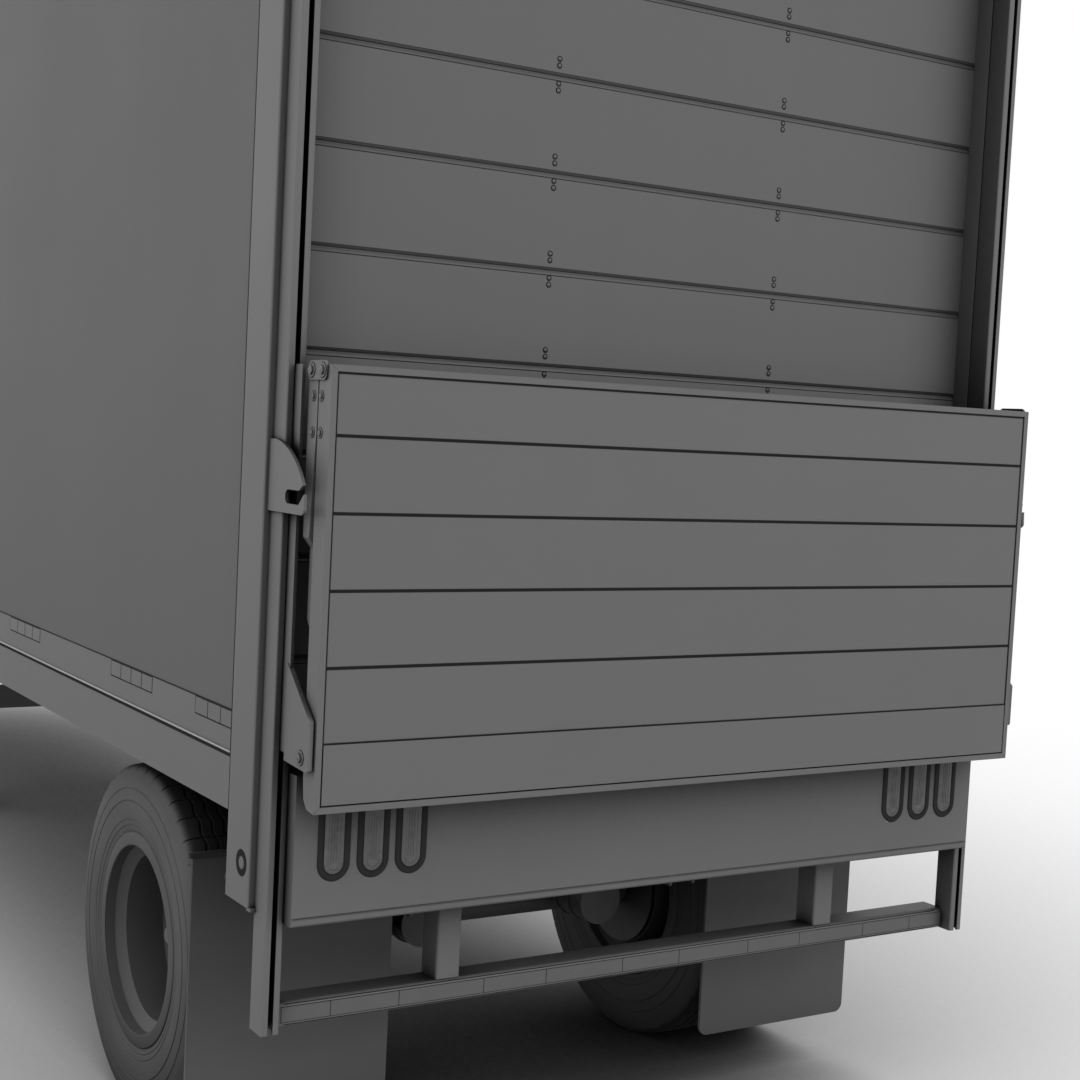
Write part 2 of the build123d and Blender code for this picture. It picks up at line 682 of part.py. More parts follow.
def heel_grooves():
    """Grooves that set the heel off from the frame's border, and the mitres at its corners."""
    width, depth = HEEL_GROOVE
    inside, y = PLATFORM_HALF - BORDER, (PLATFORM_REAR - 1, PLATFORM_REAR + depth)
    low = PLATFORM_BOTTOM + BORDER
    cuts = [block((-inside, inside), y, (low, low + width))]
    cuts += both_sides(block((inside - width, inside), y, (low, HEEL_TOP + 1)))
    for corner, way in ((PLATFORM_BOTTOM, 1), (PLATFORM_TOP, -1)):
        tip = corner + way * (BORDER + MITRE_GROOVE)
        line = outline([(PLATFORM_HALF + 1, corner - MITRE_GROOVE),
                        (PLATFORM_HALF + 1, corner + MITRE_GROOVE), (inside - MITRE_GROOVE, tip)])
        cuts += both_sides(along_y(line, y[0], PLATFORM_REAR + MITRE_GROOVE))
    return cuts


def main_frame():
    rear, front = PLATFORM_REAR, PLATFORM_FRONT
    run, foot, head = HEEL_NOSE
    side = [
        (rear, PLATFORM_BOTTOM), (rear + HEEL_SLOPE[0], PLATFORM_BOTTOM + HEEL_SLOPE[1]),
        (front - run, PLATFORM_BOTTOM + foot), (front, PLATFORM_BOTTOM + head),
        (front, PLATFORM_TOP - EDGE_BEVEL), (front - EDGE_BEVEL, PLATFORM_TOP),
        (rear, PLATFORM_TOP),
    ]
    inside = PLATFORM_HALF - BORDER
    body = along_x(outline(side), -PLATFORM_HALF, PLATFORM_HALF)
    body -= block((-inside, inside), (rear - 1, front + 1), (HEEL_TOP, PLATFORM_TOP - BORDER))
    for cut in heel_grooves():
        body -= cut
    hinge = rod_x(HINGE_R + HUB_CLEARANCE, PLATFORM_HALF - HINGE_HOLE, PLATFORM_HALF + 1,
                  PIVOT_Y, PIVOT_Z)
    link = rod_x(LINK_PIN_R + HUB_CLEARANCE, PLATFORM_HALF - LINK_HOLE, PLATFORM_HALF + 1,
                 LINK_MAIN_Y, LINK_HINGE_Z)
    for cut in both_sides(hinge) + both_sides(link):
        body -= cut
    return body


def hollow_plank(low, high):
    """Extruded plank: a flat box with rounded long edges and three cells."""
    depth, height = PLATFORM_THICK - 2 * PLANK_INSET, high - low - PLANK_GAP
    face = Rectangle(depth, height)
    face = fillet(face.vertices(), PLANK_R)
    cell = (height - 4 * PLANK_WALL) / 3
    for step in (-1, 0, 1):
        hole = Rectangle(depth - 2 * PLANK_WALL, cell)
        face -= Pos(0, step * (cell + PLANK_WALL)) * hole
    half = PLATFORM_HALF - BORDER - TOUCH
    middle = Pos(PLATFORM_REAR + PLATFORM_THICK / 2, (high + low) / 2)
    return along_x(middle * face, -half, half)


def main_planks():
    seams = [HEEL_TOP + i * PLANK_PITCH for i in range(PLANK_COUNT)]
    tops = seams[1:] + [PLATFORM_TOP - BORDER]
    return [hollow_plank(low, high) for low, high in zip(seams, tops)]


def link_plate():
    x = (PLATFORM_HALF + LINK_T / 10, PLATFORM_HALF + LINK_T * 1.1)
    middle = Pos((LINK_MAIN_Y + LINK_EXT_Y) / 2, LINK_HINGE_Z)
    plate = RectangleRounded(LINK_EXT_Y - LINK_MAIN_Y + 2 * LINK_END, LINK_HEIGHT, LINK_R)
    body = along_x(middle * plate, *x)
    for y in (LINK_MAIN_Y, LINK_EXT_Y):
        body += rod_x(LINK_PIN_R, PLATFORM_HALF - LINK_HOLE + 1, x[1], y, LINK_HINGE_Z)
    return body


def extension_deck():
    back = PLATFORM_FRONT + EXT_GAP
    front = back + EXT_THICK
    side = [
        (front - EXT_NOSE[0], EXT_BOTTOM), (front, EXT_BOTTOM + EXT_NOSE[1]),
        (front, PLATFORM_TOP), (back + EDGE_BEVEL, PLATFORM_TOP), (back, PLATFORM_TOP - EDGE_BEVEL),
        (back, EXT_BOTTOM + EXT_TAPER), (front - EXT_TIP, EXT_BOTTOM),
    ]
    body = along_x(outline(side), -PLATFORM_HALF, PLATFORM_HALF)
    link = rod_x(LINK_PIN_R + HUB_CLEARANCE, PLATFORM_HALF - LINK_HOLE, PLATFORM_HALF + 1,
                 LINK_EXT_Y, LINK_HINGE_Z)
    width, height, slope = EXT_CLIP
    inner, outer = PLATFORM_HALF - width, PLATFORM_HALF + 1
    clip = outline([(outer, EXT_BOTTOM - 1), (outer, EXT_BOTTOM + height + slope),
                    (inner, EXT_BOTTOM + height), (inner, EXT_BOTTOM - 1)])
    for cut in both_sides(link) + both_sides(along_y(clip, back - 1, front + 1)):
        body -= cut
    return body


# ---------------------------------------------------------------- running gear
def tyre(x):
    """Closed ring with bulged sidewalls, rounded shoulders and a slightly crowned tread."""
    half, outer = TYRE_WIDTH / 2, TYRE_R
    bead = RIM_R + SEAT
    heel, side = (BEAD_HALF + 5.5, bead + 14), (half - 12, bead + 30)
    shoulder, edge = (half - 12, outer - 35), (half - 38, outer - 4)
    right = [
        Line((BEAD_HALF, bead), heel),
        Line(heel, side),
        ThreePointArc(side, (half, (bead + outer) / 2), shoulder),
        ThreePointArc(shoulder, (half - 19, outer - 12), edge),
    ]
    left = [mirror(line, about=Plane.YZ) for line in right]
    tread = ThreePointArc(edge, (0, outer), (-edge[0], edge[1]))
    face = make_face([Line((-BEAD_HALF, bead), (BEAD_HALF, bead)), *right, tread, *left])
    return Pos(x, AXLE, TYRE_R) * revolve(Plane.XZ * face, Axis.X, 360)


def disc_rim(side):
    """Disc wheel: side +1 is the outer wheel, -1 the inner one, mirrored about the dual plane."""
    inner, outer = DUAL_SPACING / 2 - RIM_HALF, DUAL_SPACING / 2 + RIM_HALF
    seat, under, flange = RIM_R, RIM_R - RIM_T, RIM_R + RIM_FLANGE
    well = RIM_R - RIM_WELL
    hollow = well - RIM_T
    points = [
        (inner, seat), (inner - 6, flange), (inner - 10, flange), (inner - 10, under),
        (inner + 20, under), (inner + 30, hollow), (inner + 34, hollow - 6),
        (12, 175), (SEAT, 165), (SEAT, 112), (11, 112), (11, 160), (24, 170),
        (inner + 46, hollow - 2), (outer - 45, hollow), (outer - 20, under),
        (outer + 10, under), (outer + 10, flange), (outer + 6, flange), (outer, seat),
        (outer - 22, seat), (outer - 46, well), (inner + 40, well), (inner + 24, seat),
    ]
    body = turned_x([(DUAL_CENTRE + side * x, r) for x, r in points], AXLE, TYRE_R)
    span = sorted((DUAL_CENTRE + side * 5, DUAL_CENTRE + side * 75))
    for i in range(HAND_HOLE_COUNT):
        angle = 2 * math.pi * (i + 0.5) / HAND_HOLE_COUNT
        y = AXLE + HAND_HOLE_RING * math.cos(angle)
        z = TYRE_R + HAND_HOLE_RING * math.sin(angle)
        body -= rod_x(HAND_HOLE_R, *span, y, z)
    return body


def hub_drum():
    """Brake drum and hub in one turned piece, with the bore that runs on the spindle."""
    start, end = DRUM
    seat = DUAL_CENTRE - 11 - SEAT
    bore = SPINDLE_R + HUB_CLEARANCE
    points = [
        (start, DRUM_R - DRUM_WALL), (start, DRUM_R), (end, DRUM_R), (end + 12, DRUM_R - 18),
        (end + 12, HUB_R + 8), (seat - 14, HUB_R), (seat - 14, HUB_R + 40), (seat, HUB_R + 40),
        (seat, HUB_R - 5), (HUB_END - 10, HUB_R - 12), (HUB_END, HUB_CAP_R), (HUB_END, 0),
        (SPINDLE[1], 0), (SPINDLE[1], bore), (SPINDLE[0], bore), (SPINDLE[0], HUB_R - 20),
        (end - 12, HUB_R), (end - 12, DRUM_R - DRUM_WALL),
    ]
    return turned_x(points, AXLE, TYRE_R)


def axle_beam():
    """Round tube with a spindle, brake backing plate, spring seat and chamber bracket a side."""
    length = DRUM[0] - 20
    radius, thick, gap = BACKPLATE
    beam = rod_x(AXLE_R, -length, length, AXLE, TYRE_R)
    beam += rod_x(SPINDLE_R, -SPINDLE_END, SPINDLE_END, AXLE, TYRE_R)
    plate = rod_x(radius, DRUM[0] - gap - thick, DRUM[0] - gap, AXLE, TYRE_R)
    seat = block((SPRING_X - SEAT_HALF[0], SPRING_X + SEAT_HALF[0]),
                 (AXLE - SEAT_HALF[1], AXLE + SEAT_HALF[1]), (TYRE_R + 30, SPRING_LOW - TOUCH))
    half, plate_t, below, _ = CHAMBER_PLATE
    arm = block((CHAMBER_X - half, CHAMBER_X + half),
                (AXLE - AXLE_R - CHAMBER_GAP + plate_t + TOUCH, AXLE),
                (CHAMBER_Z - below, CHAMBER_Z - below + CHAMBER_ARM))
    for piece in both_sides(plate) + both_sides(seat) + both_sides(arm):
        beam += piece
    return beam


def leaf(half, low):
    rise = SPRING_RISE * (half / SPRING_HALF) ** 2
    high = low + SPRING_LEAF
    face = make_face([
        ThreePointArc((-half, low + rise), (0, low), (half, low + rise)),
        Line((half, low + rise), (half, high + rise)),
        ThreePointArc((half, high + rise), (0, high), (-half, high + rise)),
        Line((-half, high + rise), (-half, low + rise)),
    ])
    return along_x(Pos(AXLE, 0) * face, SPRING_X - SPRING_WIDTH / 2, SPRING_X + SPRING_WIDTH / 2)


def leaf_spring():
    half_width, half_length, thick = CLAMP
    body = block((SPRING_X - half_width, SPRING_X + half_width),
                 (AXLE - half_length, AXLE + half_length), (SPRING_TOP, SPRING_TOP + thick))
    for i, half in enumerate(SPRING_LEAVES):
        body += leaf(half, SPRING_LOW + i * SPRING_LEAF)
    return body


def suspension_rail():
    start, end = SUBFRAME
    rail = block((SPRING_X - 40, SPRING_X + 40), SUBFRAME,
                 (SUBFRAME_BOTTOM, SILL_BOTTOM + SHELF - TOUCH))
    hollow = block((SPRING_X - 40 + SUBFRAME_WALL, SPRING_X + 40), (start - 1, end + 1),
                   (SUBFRAME_BOTTOM + SUBFRAME_FLANGE, SILL_BOTTOM))
    return rail - hollow


def suspension_ties():
    width, height, wall = TIE
    tie = Rectangle(width, height) - Rectangle(width - 2 * wall, height - 2 * wall)
    half = SPRING_X - 40 - TOUCH
    places = (SUBFRAME[0] + height, AXLE - TIE_FROM_AXLE, AXLE + TIE_FROM_AXLE,
              SUBFRAME[1] - height)
    return [along_x(Pos(y, SUBFRAME_BOTTOM + height) * tie, -half, half) for y in places]


def spring_hanger(y):
    """Tapered hanger under the subframe rail, open along Y where the spring's end passes."""
    end_low = SPRING_TOP - SPRING_LEAF + SPRING_RISE
    half = SPRING_WIDTH / 2 + 2 + HANGER_CHEEK
    top, low = SUBFRAME_BOTTOM - TOUCH, end_low - HANGER_BELOW
    shape = outline([(y - HANGER_TOP, top), (y + HANGER_TOP, top), (y + HANGER_LOW, low),
                     (y - HANGER_LOW, low)])
    way = block((SPRING_X - half + HANGER_CHEEK, SPRING_X + half - HANGER_CHEEK),
                (y - HANGER_TOP - 1, y + HANGER_TOP + 1),
                (low - 1, end_low + SPRING_LEAF + TOUCH))
    return along_x(shape, SPRING_X - half, SPRING_X + half) - way


def spring_hangers():
    hangers = []
    for side in (-1, 1):
        hangers += both_sides(spring_hanger(AXLE + side * (SPRING_HALF - 25)))
    return hangers


def brake_chamber():
    x, z, front = CHAMBER_X, CHAMBER_Z, AXLE - AXLE_R - CHAMBER_GAP
    body = rod_y(CHAMBER_R, front - CHAMBER_LENGTH, front, x, z)
    band, length = CHAMBER_BAND
    for back in CHAMBER_BANDS:
        body += rod_y(band, front - back, front - back + length, x, z)
    radius, reach, height = CHAMBER_ROD
    body += rod_y(radius, front, front + reach, x, z + height)
    half, thick, below, above = CHAMBER_PLATE
    return body + block((x - half, x + half), (front, front + thick), (z - below, z + above))


def air_tank():
    """Reservoir across the frame, in two straps that hang from the floor beams."""
    y, z = AXLE + TANK_Y, BEAM_BOTTOM - TOUCH - TANK_DROP - TANK_R
    shell = rod_x(TANK_R, -TANK_HALF, TANK_HALF, y, z)
    shell = fillet(shell.edges().filter_by(GeomType.CIRCLE), TANK_R / 3)
    for x in (-TANK_HALF / 2, TANK_HALF / 2):
        strap = (x - 20, x + 20)
        shell += rod_x(TANK_R + 4, *strap, y, z)
        shell += block(strap, (y - TANK_R - 4, y + TANK_R + 4), (z, BEAM_BOTTOM - TOUCH))
    return shell


# ---------------------------------------------------------------- landing gear
def leg_tube():
    section = Rectangle(LEG_OUTER, LEG_OUTER)
    section = fillet(section.vertices(), 8)
    section -= Rectangle(LEG_INNER, LEG_INNER)
    beside, half_length, thick = LEG_PLATE
    low = SILL_BOTTOM - thick
    tube = along_z(Pos(LEG_X, LEGS) * section, LEG_LOW, low)
    half = LEG_OUTER / 2 + beside
    plate = block((LEG_X - half, LEG_X + half), (LEGS - half_length, LEGS + half_length),
                  (low, SILL_BOTTOM + SHELF - TOUCH))
    return tube + plate


def leg_foot():
    half = LEG_INNER / 2 - LEG_FIT
    thick, reach, top = FOOT_CHEEK
    leg = block((LEG_X - half, LEG_X + half), (LEGS - half, LEGS + half),
                (LEG_FOOT_BOTTOM, LEG_LOW + LEG_LAP))
    shoe = block((LEG_X - SHOE / 2, LEG_X + SHOE / 2), (LEGS - SHOE / 2, LEGS + SHOE / 2), (0, FOOT))
    shoe = fillet(shoe.edges().filter_by(Axis.Z), SHOE_R)
    for x in (LEG_X - half - thick + 4, LEG_X + half - 4):
        shoe += block((x, x + thick), (LEGS - reach, LEGS + reach), (FOOT - 1, top))
    radius, height = FOOT_PIN
    return leg + shoe + rod_x(radius, LEG_X - half - 20, LEG_X + half + 20, LEGS, height)


def leg_brace():
    low, high, depth, wall = BRACE
    half = LEG_X - LEG_OUTER / 2 - TOUCH
    body = block((-half, half), (LEGS - depth, LEGS + depth), (low, high))
    return body - block((-half, half), (LEGS - depth + wall, LEGS + depth + 1),
                        (low + wall, high - wall))


def crank_shaft():
    """Shaft between the legs, and the crank with its gearbox outside the left-hand leg."""
    inner, outer = LEG_X - LEG_OUTER / 2 - TOUCH, LEG_X + LEG_OUTER / 2 + TOUCH
    reach, depth, height = GEARBOX
    arm = HALF - CRANK_PLANE
    shaft = rod_x(CRANK_R, -inner, inner, LEGS, CRANK_Z)
    box = block((-outer - reach, -outer), (LEGS - depth, LEGS + depth),
                (CRANK_Z - height / 2, CRANK_Z + height / 2))
    box = fillet(box.edges().filter_by(Axis.X), 15)
    crank = rod_x(CRANK_R, -arm, -outer, LEGS, CRANK_Z)
    crank += block((-arm - CRANK_R, -arm), (LEGS - CRANK_EYE, LEGS + CRANK_EYE),
                   (CRANK_Z - CRANK_ARM - CRANK_EYE, CRANK_Z + CRANK_EYE))
    grip = rod_x(CRANK_EYE, -HALF + CRANK_GRIP, -arm, LEGS, CRANK_Z - CRANK_ARM)
    return [shaft, crank + box + grip]


def build():
    add("right_side_wall", side_wall())
    add("left_side_wall", mirrored(side_wall()))
    add("bottom_rails", both_sides(bottom_rail()))
    add("top_rails", both_sides(top_rail()))
    add("front_wall", front_wall())
    add("front_corner_posts", both_sides(front_corner_post()))
    add("roof_panel", roof_panel())
    add("floor_deck", floor_deck())
    add("floor_crossmembers", floor_crossmembers())
    add("upper_coupler", upper_coupler())
    add("kingpin", kingpin())
    add("nose_connectors", nose_connectors())
    add("right_rear_post", rear_post())
    add("left_rear_post", mirrored(rear_post()))
    add("rear_header", rear_header())
    add("rear_sill", rear_sill())
    add("roll_up_door", roll_up_door())
    add("right_lift_rail", lift_rail())
    add("left_lift_rail", mirrored(lift_rail()))
    add("bed_apron", bed_apron())
    add("tail_lamps", tail_lamps())
    add("lock_hooks", both_sides(lock_hook()))
    add("underride_guard", guard_bar(), both_sides(guard_strut()))
    add("mud_flaps", both_sides(mud_flap()))
    add("flap_hangers", both_sides(flap_hanger()))
    add("right_runner", runner())
    add("left_runner", mirrored(runner()))
    add("main_frame", main_frame())
    add("main_planks", main_planks())
    add("fold_links", both_sides(link_plate()))
    add("extension_deck", extension_deck())
    half = DUAL_SPACING / 2
    tyres = [tyre(DUAL_CENTRE + half), tyre(DUAL_CENTRE - half)]
    rims = [disc_rim(1), disc_rim(-1)]
    for side, place in (("right", lambda s: s), ("left", mirrored)):
        add(side + "_tyres", [place(tyre) for tyre in tyres])
        add(side + "_rims", [place(rim) for rim in rims])
        add(side + "_hub_drum", place(hub_drum()))
    add("axle_beam", axle_beam())
    add("leaf_springs", both_sides(leaf_spring()))
    add("suspension_subframe", both_sides(suspension_rail()), suspension_ties())
    add("spring_hangers", spring_hangers())
    add("brake_chambers", both_sides(brake_chamber()))
    add("air_tank", air_tank())
    add("landing_legs", both_sides(leg_tube()))
    add("landing_feet", both_sides(leg_foot()))
    add("leg_brace", leg_brace())
    add("leg_crank", crank_shaft())


build()
os.makedirs("parts", exist_ok=True)
for node, shape in PARTS.items():
    export_step(shape, f"parts/{node}.step")
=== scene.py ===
import json
import math

import bpy
import bmesh
from mathutils import Matrix, Vector


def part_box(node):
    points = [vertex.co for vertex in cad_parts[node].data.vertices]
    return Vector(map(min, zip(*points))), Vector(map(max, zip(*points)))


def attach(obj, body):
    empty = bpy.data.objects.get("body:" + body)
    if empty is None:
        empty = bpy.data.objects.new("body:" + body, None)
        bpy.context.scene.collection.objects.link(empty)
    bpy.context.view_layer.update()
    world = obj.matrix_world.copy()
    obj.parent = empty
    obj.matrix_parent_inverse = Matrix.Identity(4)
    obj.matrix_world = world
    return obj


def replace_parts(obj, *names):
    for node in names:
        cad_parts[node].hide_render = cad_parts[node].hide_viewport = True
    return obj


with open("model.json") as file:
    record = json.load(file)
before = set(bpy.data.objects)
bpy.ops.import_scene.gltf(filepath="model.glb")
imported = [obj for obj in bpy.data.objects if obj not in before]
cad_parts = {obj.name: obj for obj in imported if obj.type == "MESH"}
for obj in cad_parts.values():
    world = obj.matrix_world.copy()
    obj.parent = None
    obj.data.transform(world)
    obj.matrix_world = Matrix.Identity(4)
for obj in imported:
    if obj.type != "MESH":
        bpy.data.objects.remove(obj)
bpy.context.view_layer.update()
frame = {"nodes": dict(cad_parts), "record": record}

# ---------------------------------------------------------------- places, in metres
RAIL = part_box("right_lift_rail")
RAIL_Y = RAIL[0].y                      # rear plane of the lift rails
RAIL_IN, RAIL_OUT = RAIL[0].x, RAIL[1].x
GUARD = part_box("underride_guard")
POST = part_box("right_rear_post")
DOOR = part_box("roll_up_door")
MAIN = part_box("main_frame")
EDGE_X = MAIN[1].x                      # end face of the platform
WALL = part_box("right_side_wall")
SKIN_X = WALL[1].x                      # outer face of the side wall
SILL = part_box("bottom_rails")
HALF = SILL[1].x                        # half width of the box
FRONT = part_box("front_wall")[1].y
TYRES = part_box("right_tyres")
AXLE_Y = (TYRES[0].y + TYRES[1].y) / 2
AXLE_Z = (TYRES[0].z + TYRES[1].z) / 2
DUAL_X = (TYRES[0].x + TYRES[1].x) / 2  # halfway between the twin tyres
WHEELS = ((1, "right"), (-1, "left"))

# ---------------------------------------------------------------- shader nodes
MIDDLE = (0.3, 0.7)                     # most of a noise lies between these values
OPEN = 0.92                             # a surface less hidden than this gets no painted shade


def blank(name):
    """A new material: itself, its node tree, its main shader and the object's coordinates."""
    material = bpy.data.materials.new(name)
    material.use_nodes = True
    tree = material.node_tree
    tree.nodes.clear()
    out = tree.nodes.new("ShaderNodeOutputMaterial")
    shader = tree.nodes.new("ShaderNodeBsdfPrincipled")
    tree.links.new(shader.outputs[0], out.inputs[0])
    coord = tree.nodes.new("ShaderNodeTexCoord").outputs["Object"]
    return material, tree, shader, coord


def rgb(color):
    return color if isinstance(color, tuple) else (color, color, color)


def noise(tree, coord, scale, detail=4.0, stretch=(1, 1, 1)):
    mapping = tree.nodes.new("ShaderNodeMapping")
    mapping.inputs["Scale"].default_value = stretch
    tree.links.new(coord, mapping.inputs[0])
    tex = tree.nodes.new("ShaderNodeTexNoise")
    tex.inputs["Scale"].default_value = scale
    tex.inputs["Detail"].default_value = detail
    tex.inputs["Roughness"].default_value = 0.55
    tree.links.new(mapping.outputs[0], tex.inputs["Vector"])
    return tex.outputs[0]


def ramp(tree, value, ends, span=MIDDLE):
    """Turns a value that runs over a span into one between two ends, greys or colours."""
    node = tree.nodes.new("ShaderNodeValToRGB")
    for element, position, color in zip(node.color_ramp.elements, span, ends):
        element.position = position
        element.color = (*rgb(color), 1)
    tree.links.new(value, node.inputs[0])
    return node.outputs[0]


def mixed(tree, factor, a, b, kind="MIX"):
    node = tree.nodes.new("ShaderNodeMix")
    node.data_type = "RGBA"
    node.blend_type = kind
    for socket, value in ((0, factor), (6, a), (7, b)):     # the sockets of a colour mix
        if isinstance(value, bpy.types.NodeSocket):
            tree.links.new(value, node.inputs[socket])
        else:
            node.inputs[socket].default_value = (*rgb(value), 1) if socket else value
    return node.outputs[2]


def reckon(tree, kind, value, second, third=None, clamp=False):
    """A Math node on a value and a number, and for MULTIPLY_ADD another value."""
    node = tree.nodes.new("ShaderNodeMath")
    node.operation = kind
    node.use_clamp = clamp
    node.inputs[1].default_value = second
    tree.links.new(value, node.inputs[0])
    if third is not None:
        tree.links.new(third, node.inputs[2])
    return node.outputs[0]


def along(tree, coord, axis):
    split = tree.nodes.new("ShaderNodeSeparateXYZ")
    tree.links.new(coord, split.inputs[0])
    return split.outputs["XYZ".index(axis)]


def lines(tree, coord, axis, pitch):
    """A soft triangle wave along one axis, for ribs and boards."""
    return reckon(tree, "PINGPONG", reckon(tree, "MULTIPLY", along(tree, coord, axis), 1 / pitch),
                  0.5)


def bump(tree, shader, height, strength, distance):
    node = tree.nodes.new("ShaderNodeBump")
    node.inputs["Strength"].default_value = strength
    node.inputs["Distance"].default_value = distance
    tree.links.new(height, node.inputs["Height"])
    last = shader.inputs["Normal"].links
    if last:
        tree.links.new(last[0].from_socket, node.inputs["Normal"])
    tree.links.new(node.outputs[0], shader.inputs["Normal"])


def colour_and_painted_shade(tree, shader, color, deep=0.02, reach=0.32, start=0.3):
    """Gives a shader its colour with painted shade, darker where the surface is tucked away, as in
    a seam: deep is the darkest share, reached at an occlusion of start, and reach is how far the
    occlusion looks.
    """
    shade = tree.nodes.new("ShaderNodeAmbientOcclusion")
    shade.samples = 8
    shade.inputs["Distance"].default_value = reach
    dark = ramp(tree, shade.outputs["AO"], (deep, 1.0), (start, OPEN))
    tree.links.new(mixed(tree, 1.0, color, dark, "MULTIPLY"), shader.inputs["Base Color"])


# ---------------------------------------------------------------- materials
SPECKS = 0.08                           # share of the fine grain in a painted colour
SPECK_TONES = (0.6, 1.4)
RUN_TONE = 0.55                         # a rain streak and a worn edge, against the paint
WORN_TONE = 1.8
GLOSS_SWING = 0.07


def surface(name, tone, rough, metal=0.0, spread=0.06, patch=1.5, grain=900.0, grain_depth=0.0002,
            wave=0.0, stretch=(1, 1, 1), wear=0.0, streak=0.0, specular=0.35, **painted_shade):
    """Grey paint or metal: patchy tone, uneven gloss, fine grain, rain streaks, worn edges and
    painted shade where it is tucked away.
    """
    material, tree, shader, coord = blank(name)
    broad = noise(tree, coord, patch, 5.0)
    color = ramp(tree, broad, (tone * (1 - spread), tone * (1 + spread)))
    fine = noise(tree, coord, grain, 2.0, stretch)
    specks = ramp(tree, fine, [tone * part for part in SPECK_TONES])
    color = mixed(tree, SPECKS, color, specks)
    if streak:
        runs = noise(tree, coord, 6.0, 3.0, (1.5, 1.5, 0.12))
        mask = ramp(tree, runs, (0.0, streak), (0.45, 0.75))
        color = mixed(tree, mask, color, tone * RUN_TONE)
    if wear:
        edge = tree.nodes.new("ShaderNodeNewGeometry").outputs["Pointiness"]
        mask = ramp(tree, edge, (0.0, wear), (0.51, 0.56))
        color = mixed(tree, mask, color, min(1.0, tone * WORN_TONE))
    colour_and_painted_shade(tree, shader, color, **painted_shade)
    gloss = (max(0.05, rough - GLOSS_SWING), min(1.0, rough + GLOSS_SWING))
    tree.links.new(ramp(tree, broad, gloss, (0.25, 0.75)), shader.inputs["Roughness"])
    shader.inputs["Metallic"].default_value = metal
    shader.inputs["Specular IOR Level"].default_value = specular
    bump(tree, shader, fine, 0.35, grain_depth)
    if wave:
        bump(tree, shader, noise(tree, coord, 2.2, 2.0), 0.5, wave)
    return material


def wood():
    """Laminated boards."""
    material, tree, shader, coord = blank("laminated_oak")
    grain = noise(tree, coord, 30.0, 6.0, (8, 0.5, 1))
    color = ramp(tree, grain, ((0.16, 0.10, 0.06), (0.36, 0.25, 0.15)), (0.3, 0.75))
    board = ramp(tree, lines(tree, coord, "X", 0.30), (0.25, 1.0), (0.0, 0.015))
    colour_and_painted_shade(tree, shader, mixed(tree, 1.0, color, board, "MULTIPLY"))
    tree.links.new(ramp(tree, grain, (0.45, 0.7), (0.2, 0.8)), shader.inputs["Roughness"])
    bump(tree, shader, grain, 0.3, 0.0006)
    return material


def lens():
    """Ribbed plastic under a clear coat."""
    material, tree, shader, coord = blank("ribbed_lens")
    colour_and_painted_shade(tree, shader, ramp(tree, noise(tree, coord, 35.0, 3.0), (0.10, 0.14)))
    shader.inputs["Roughness"].default_value = 0.18
    shader.inputs["Coat Weight"].default_value = 0.5
    bump(tree, shader, lines(tree, coord, "X", 0.007), 0.5, 0.0012)
    return material


def tape():
    """Reflective sheet with fine cells."""
    material, tree, shader, coord = blank("reflective_tape")
    cells = tree.nodes.new("ShaderNodeTexVoronoi")
    cells.feature = "DISTANCE_TO_EDGE"
    cells.inputs["Scale"].default_value = 260.0
    tree.links.new(coord, cells.inputs["Vector"])
    edge = ramp(tree, cells.outputs[0], (0.11, 0.14), (0.02, 0.08))
    cloud = ramp(tree, noise(tree, coord, 12.0, 3.0), (0.12, 0.145))
    colour_and_painted_shade(tree, shader, mixed(tree, 0.3, edge, cloud))
    shader.inputs["Roughness"].default_value = 0.3
    bump(tree, shader, cells.outputs[0], 0.2, 0.0003)
    return material


def rubber():
    """Tyre rubber with a film of dust, and painted shade reaching far, darker where the tyre is
    hidden under the trailer.
    """
    material, tree, shader, coord = blank("tyre_rubber")
    dust = noise(tree, coord, 5.0, 6.0)
    fine = noise(tree, coord, 420.0, 3.0)
    color = ramp(tree, dust, (0.078, 0.106), (0.35, 0.7))
    colour_and_painted_shade(tree, shader, mixed(tree, 0.15, color, ramp(tree, fine, (0.05, 0.16))), reach=0.9)
    tree.links.new(ramp(tree, dust, (0.68, 0.85)), shader.inputs["Roughness"])
    shader.inputs["Specular IOR Level"].default_value = 0.35
    bump(tree, shader, fine, 0.4, 0.0004)
    return material


def flap_sheet():
    """Black rubber, darker toward its top with painted shade from the body above, paler toward the
    ground.
    """
    material, tree, shader, coord = blank("flap_rubber")
    cloud = noise(tree, coord, 4.0, 5.0)
    # Painted shade: the higher on the flap, the darker the rubber.
    shade_height = reckon(tree, "MULTIPLY_ADD", cloud, 0.12, along(tree, coord, "Z"))
    color = ramp(tree, shade_height, (0.118, 0.040), (0.35, 0.98))
    fine = noise(tree, coord, 700.0, 2.0)
    colour_and_painted_shade(tree, shader, mixed(tree, 0.1, color, ramp(tree, fine, (0.05, 0.15))))
    tree.links.new(ramp(tree, cloud, (0.75, 0.86)), shader.inputs["Roughness"])
    shader.inputs["Specular IOR Level"].default_value = 0.3
    bump(tree, shader, fine, 0.35, 0.0004)
    return material


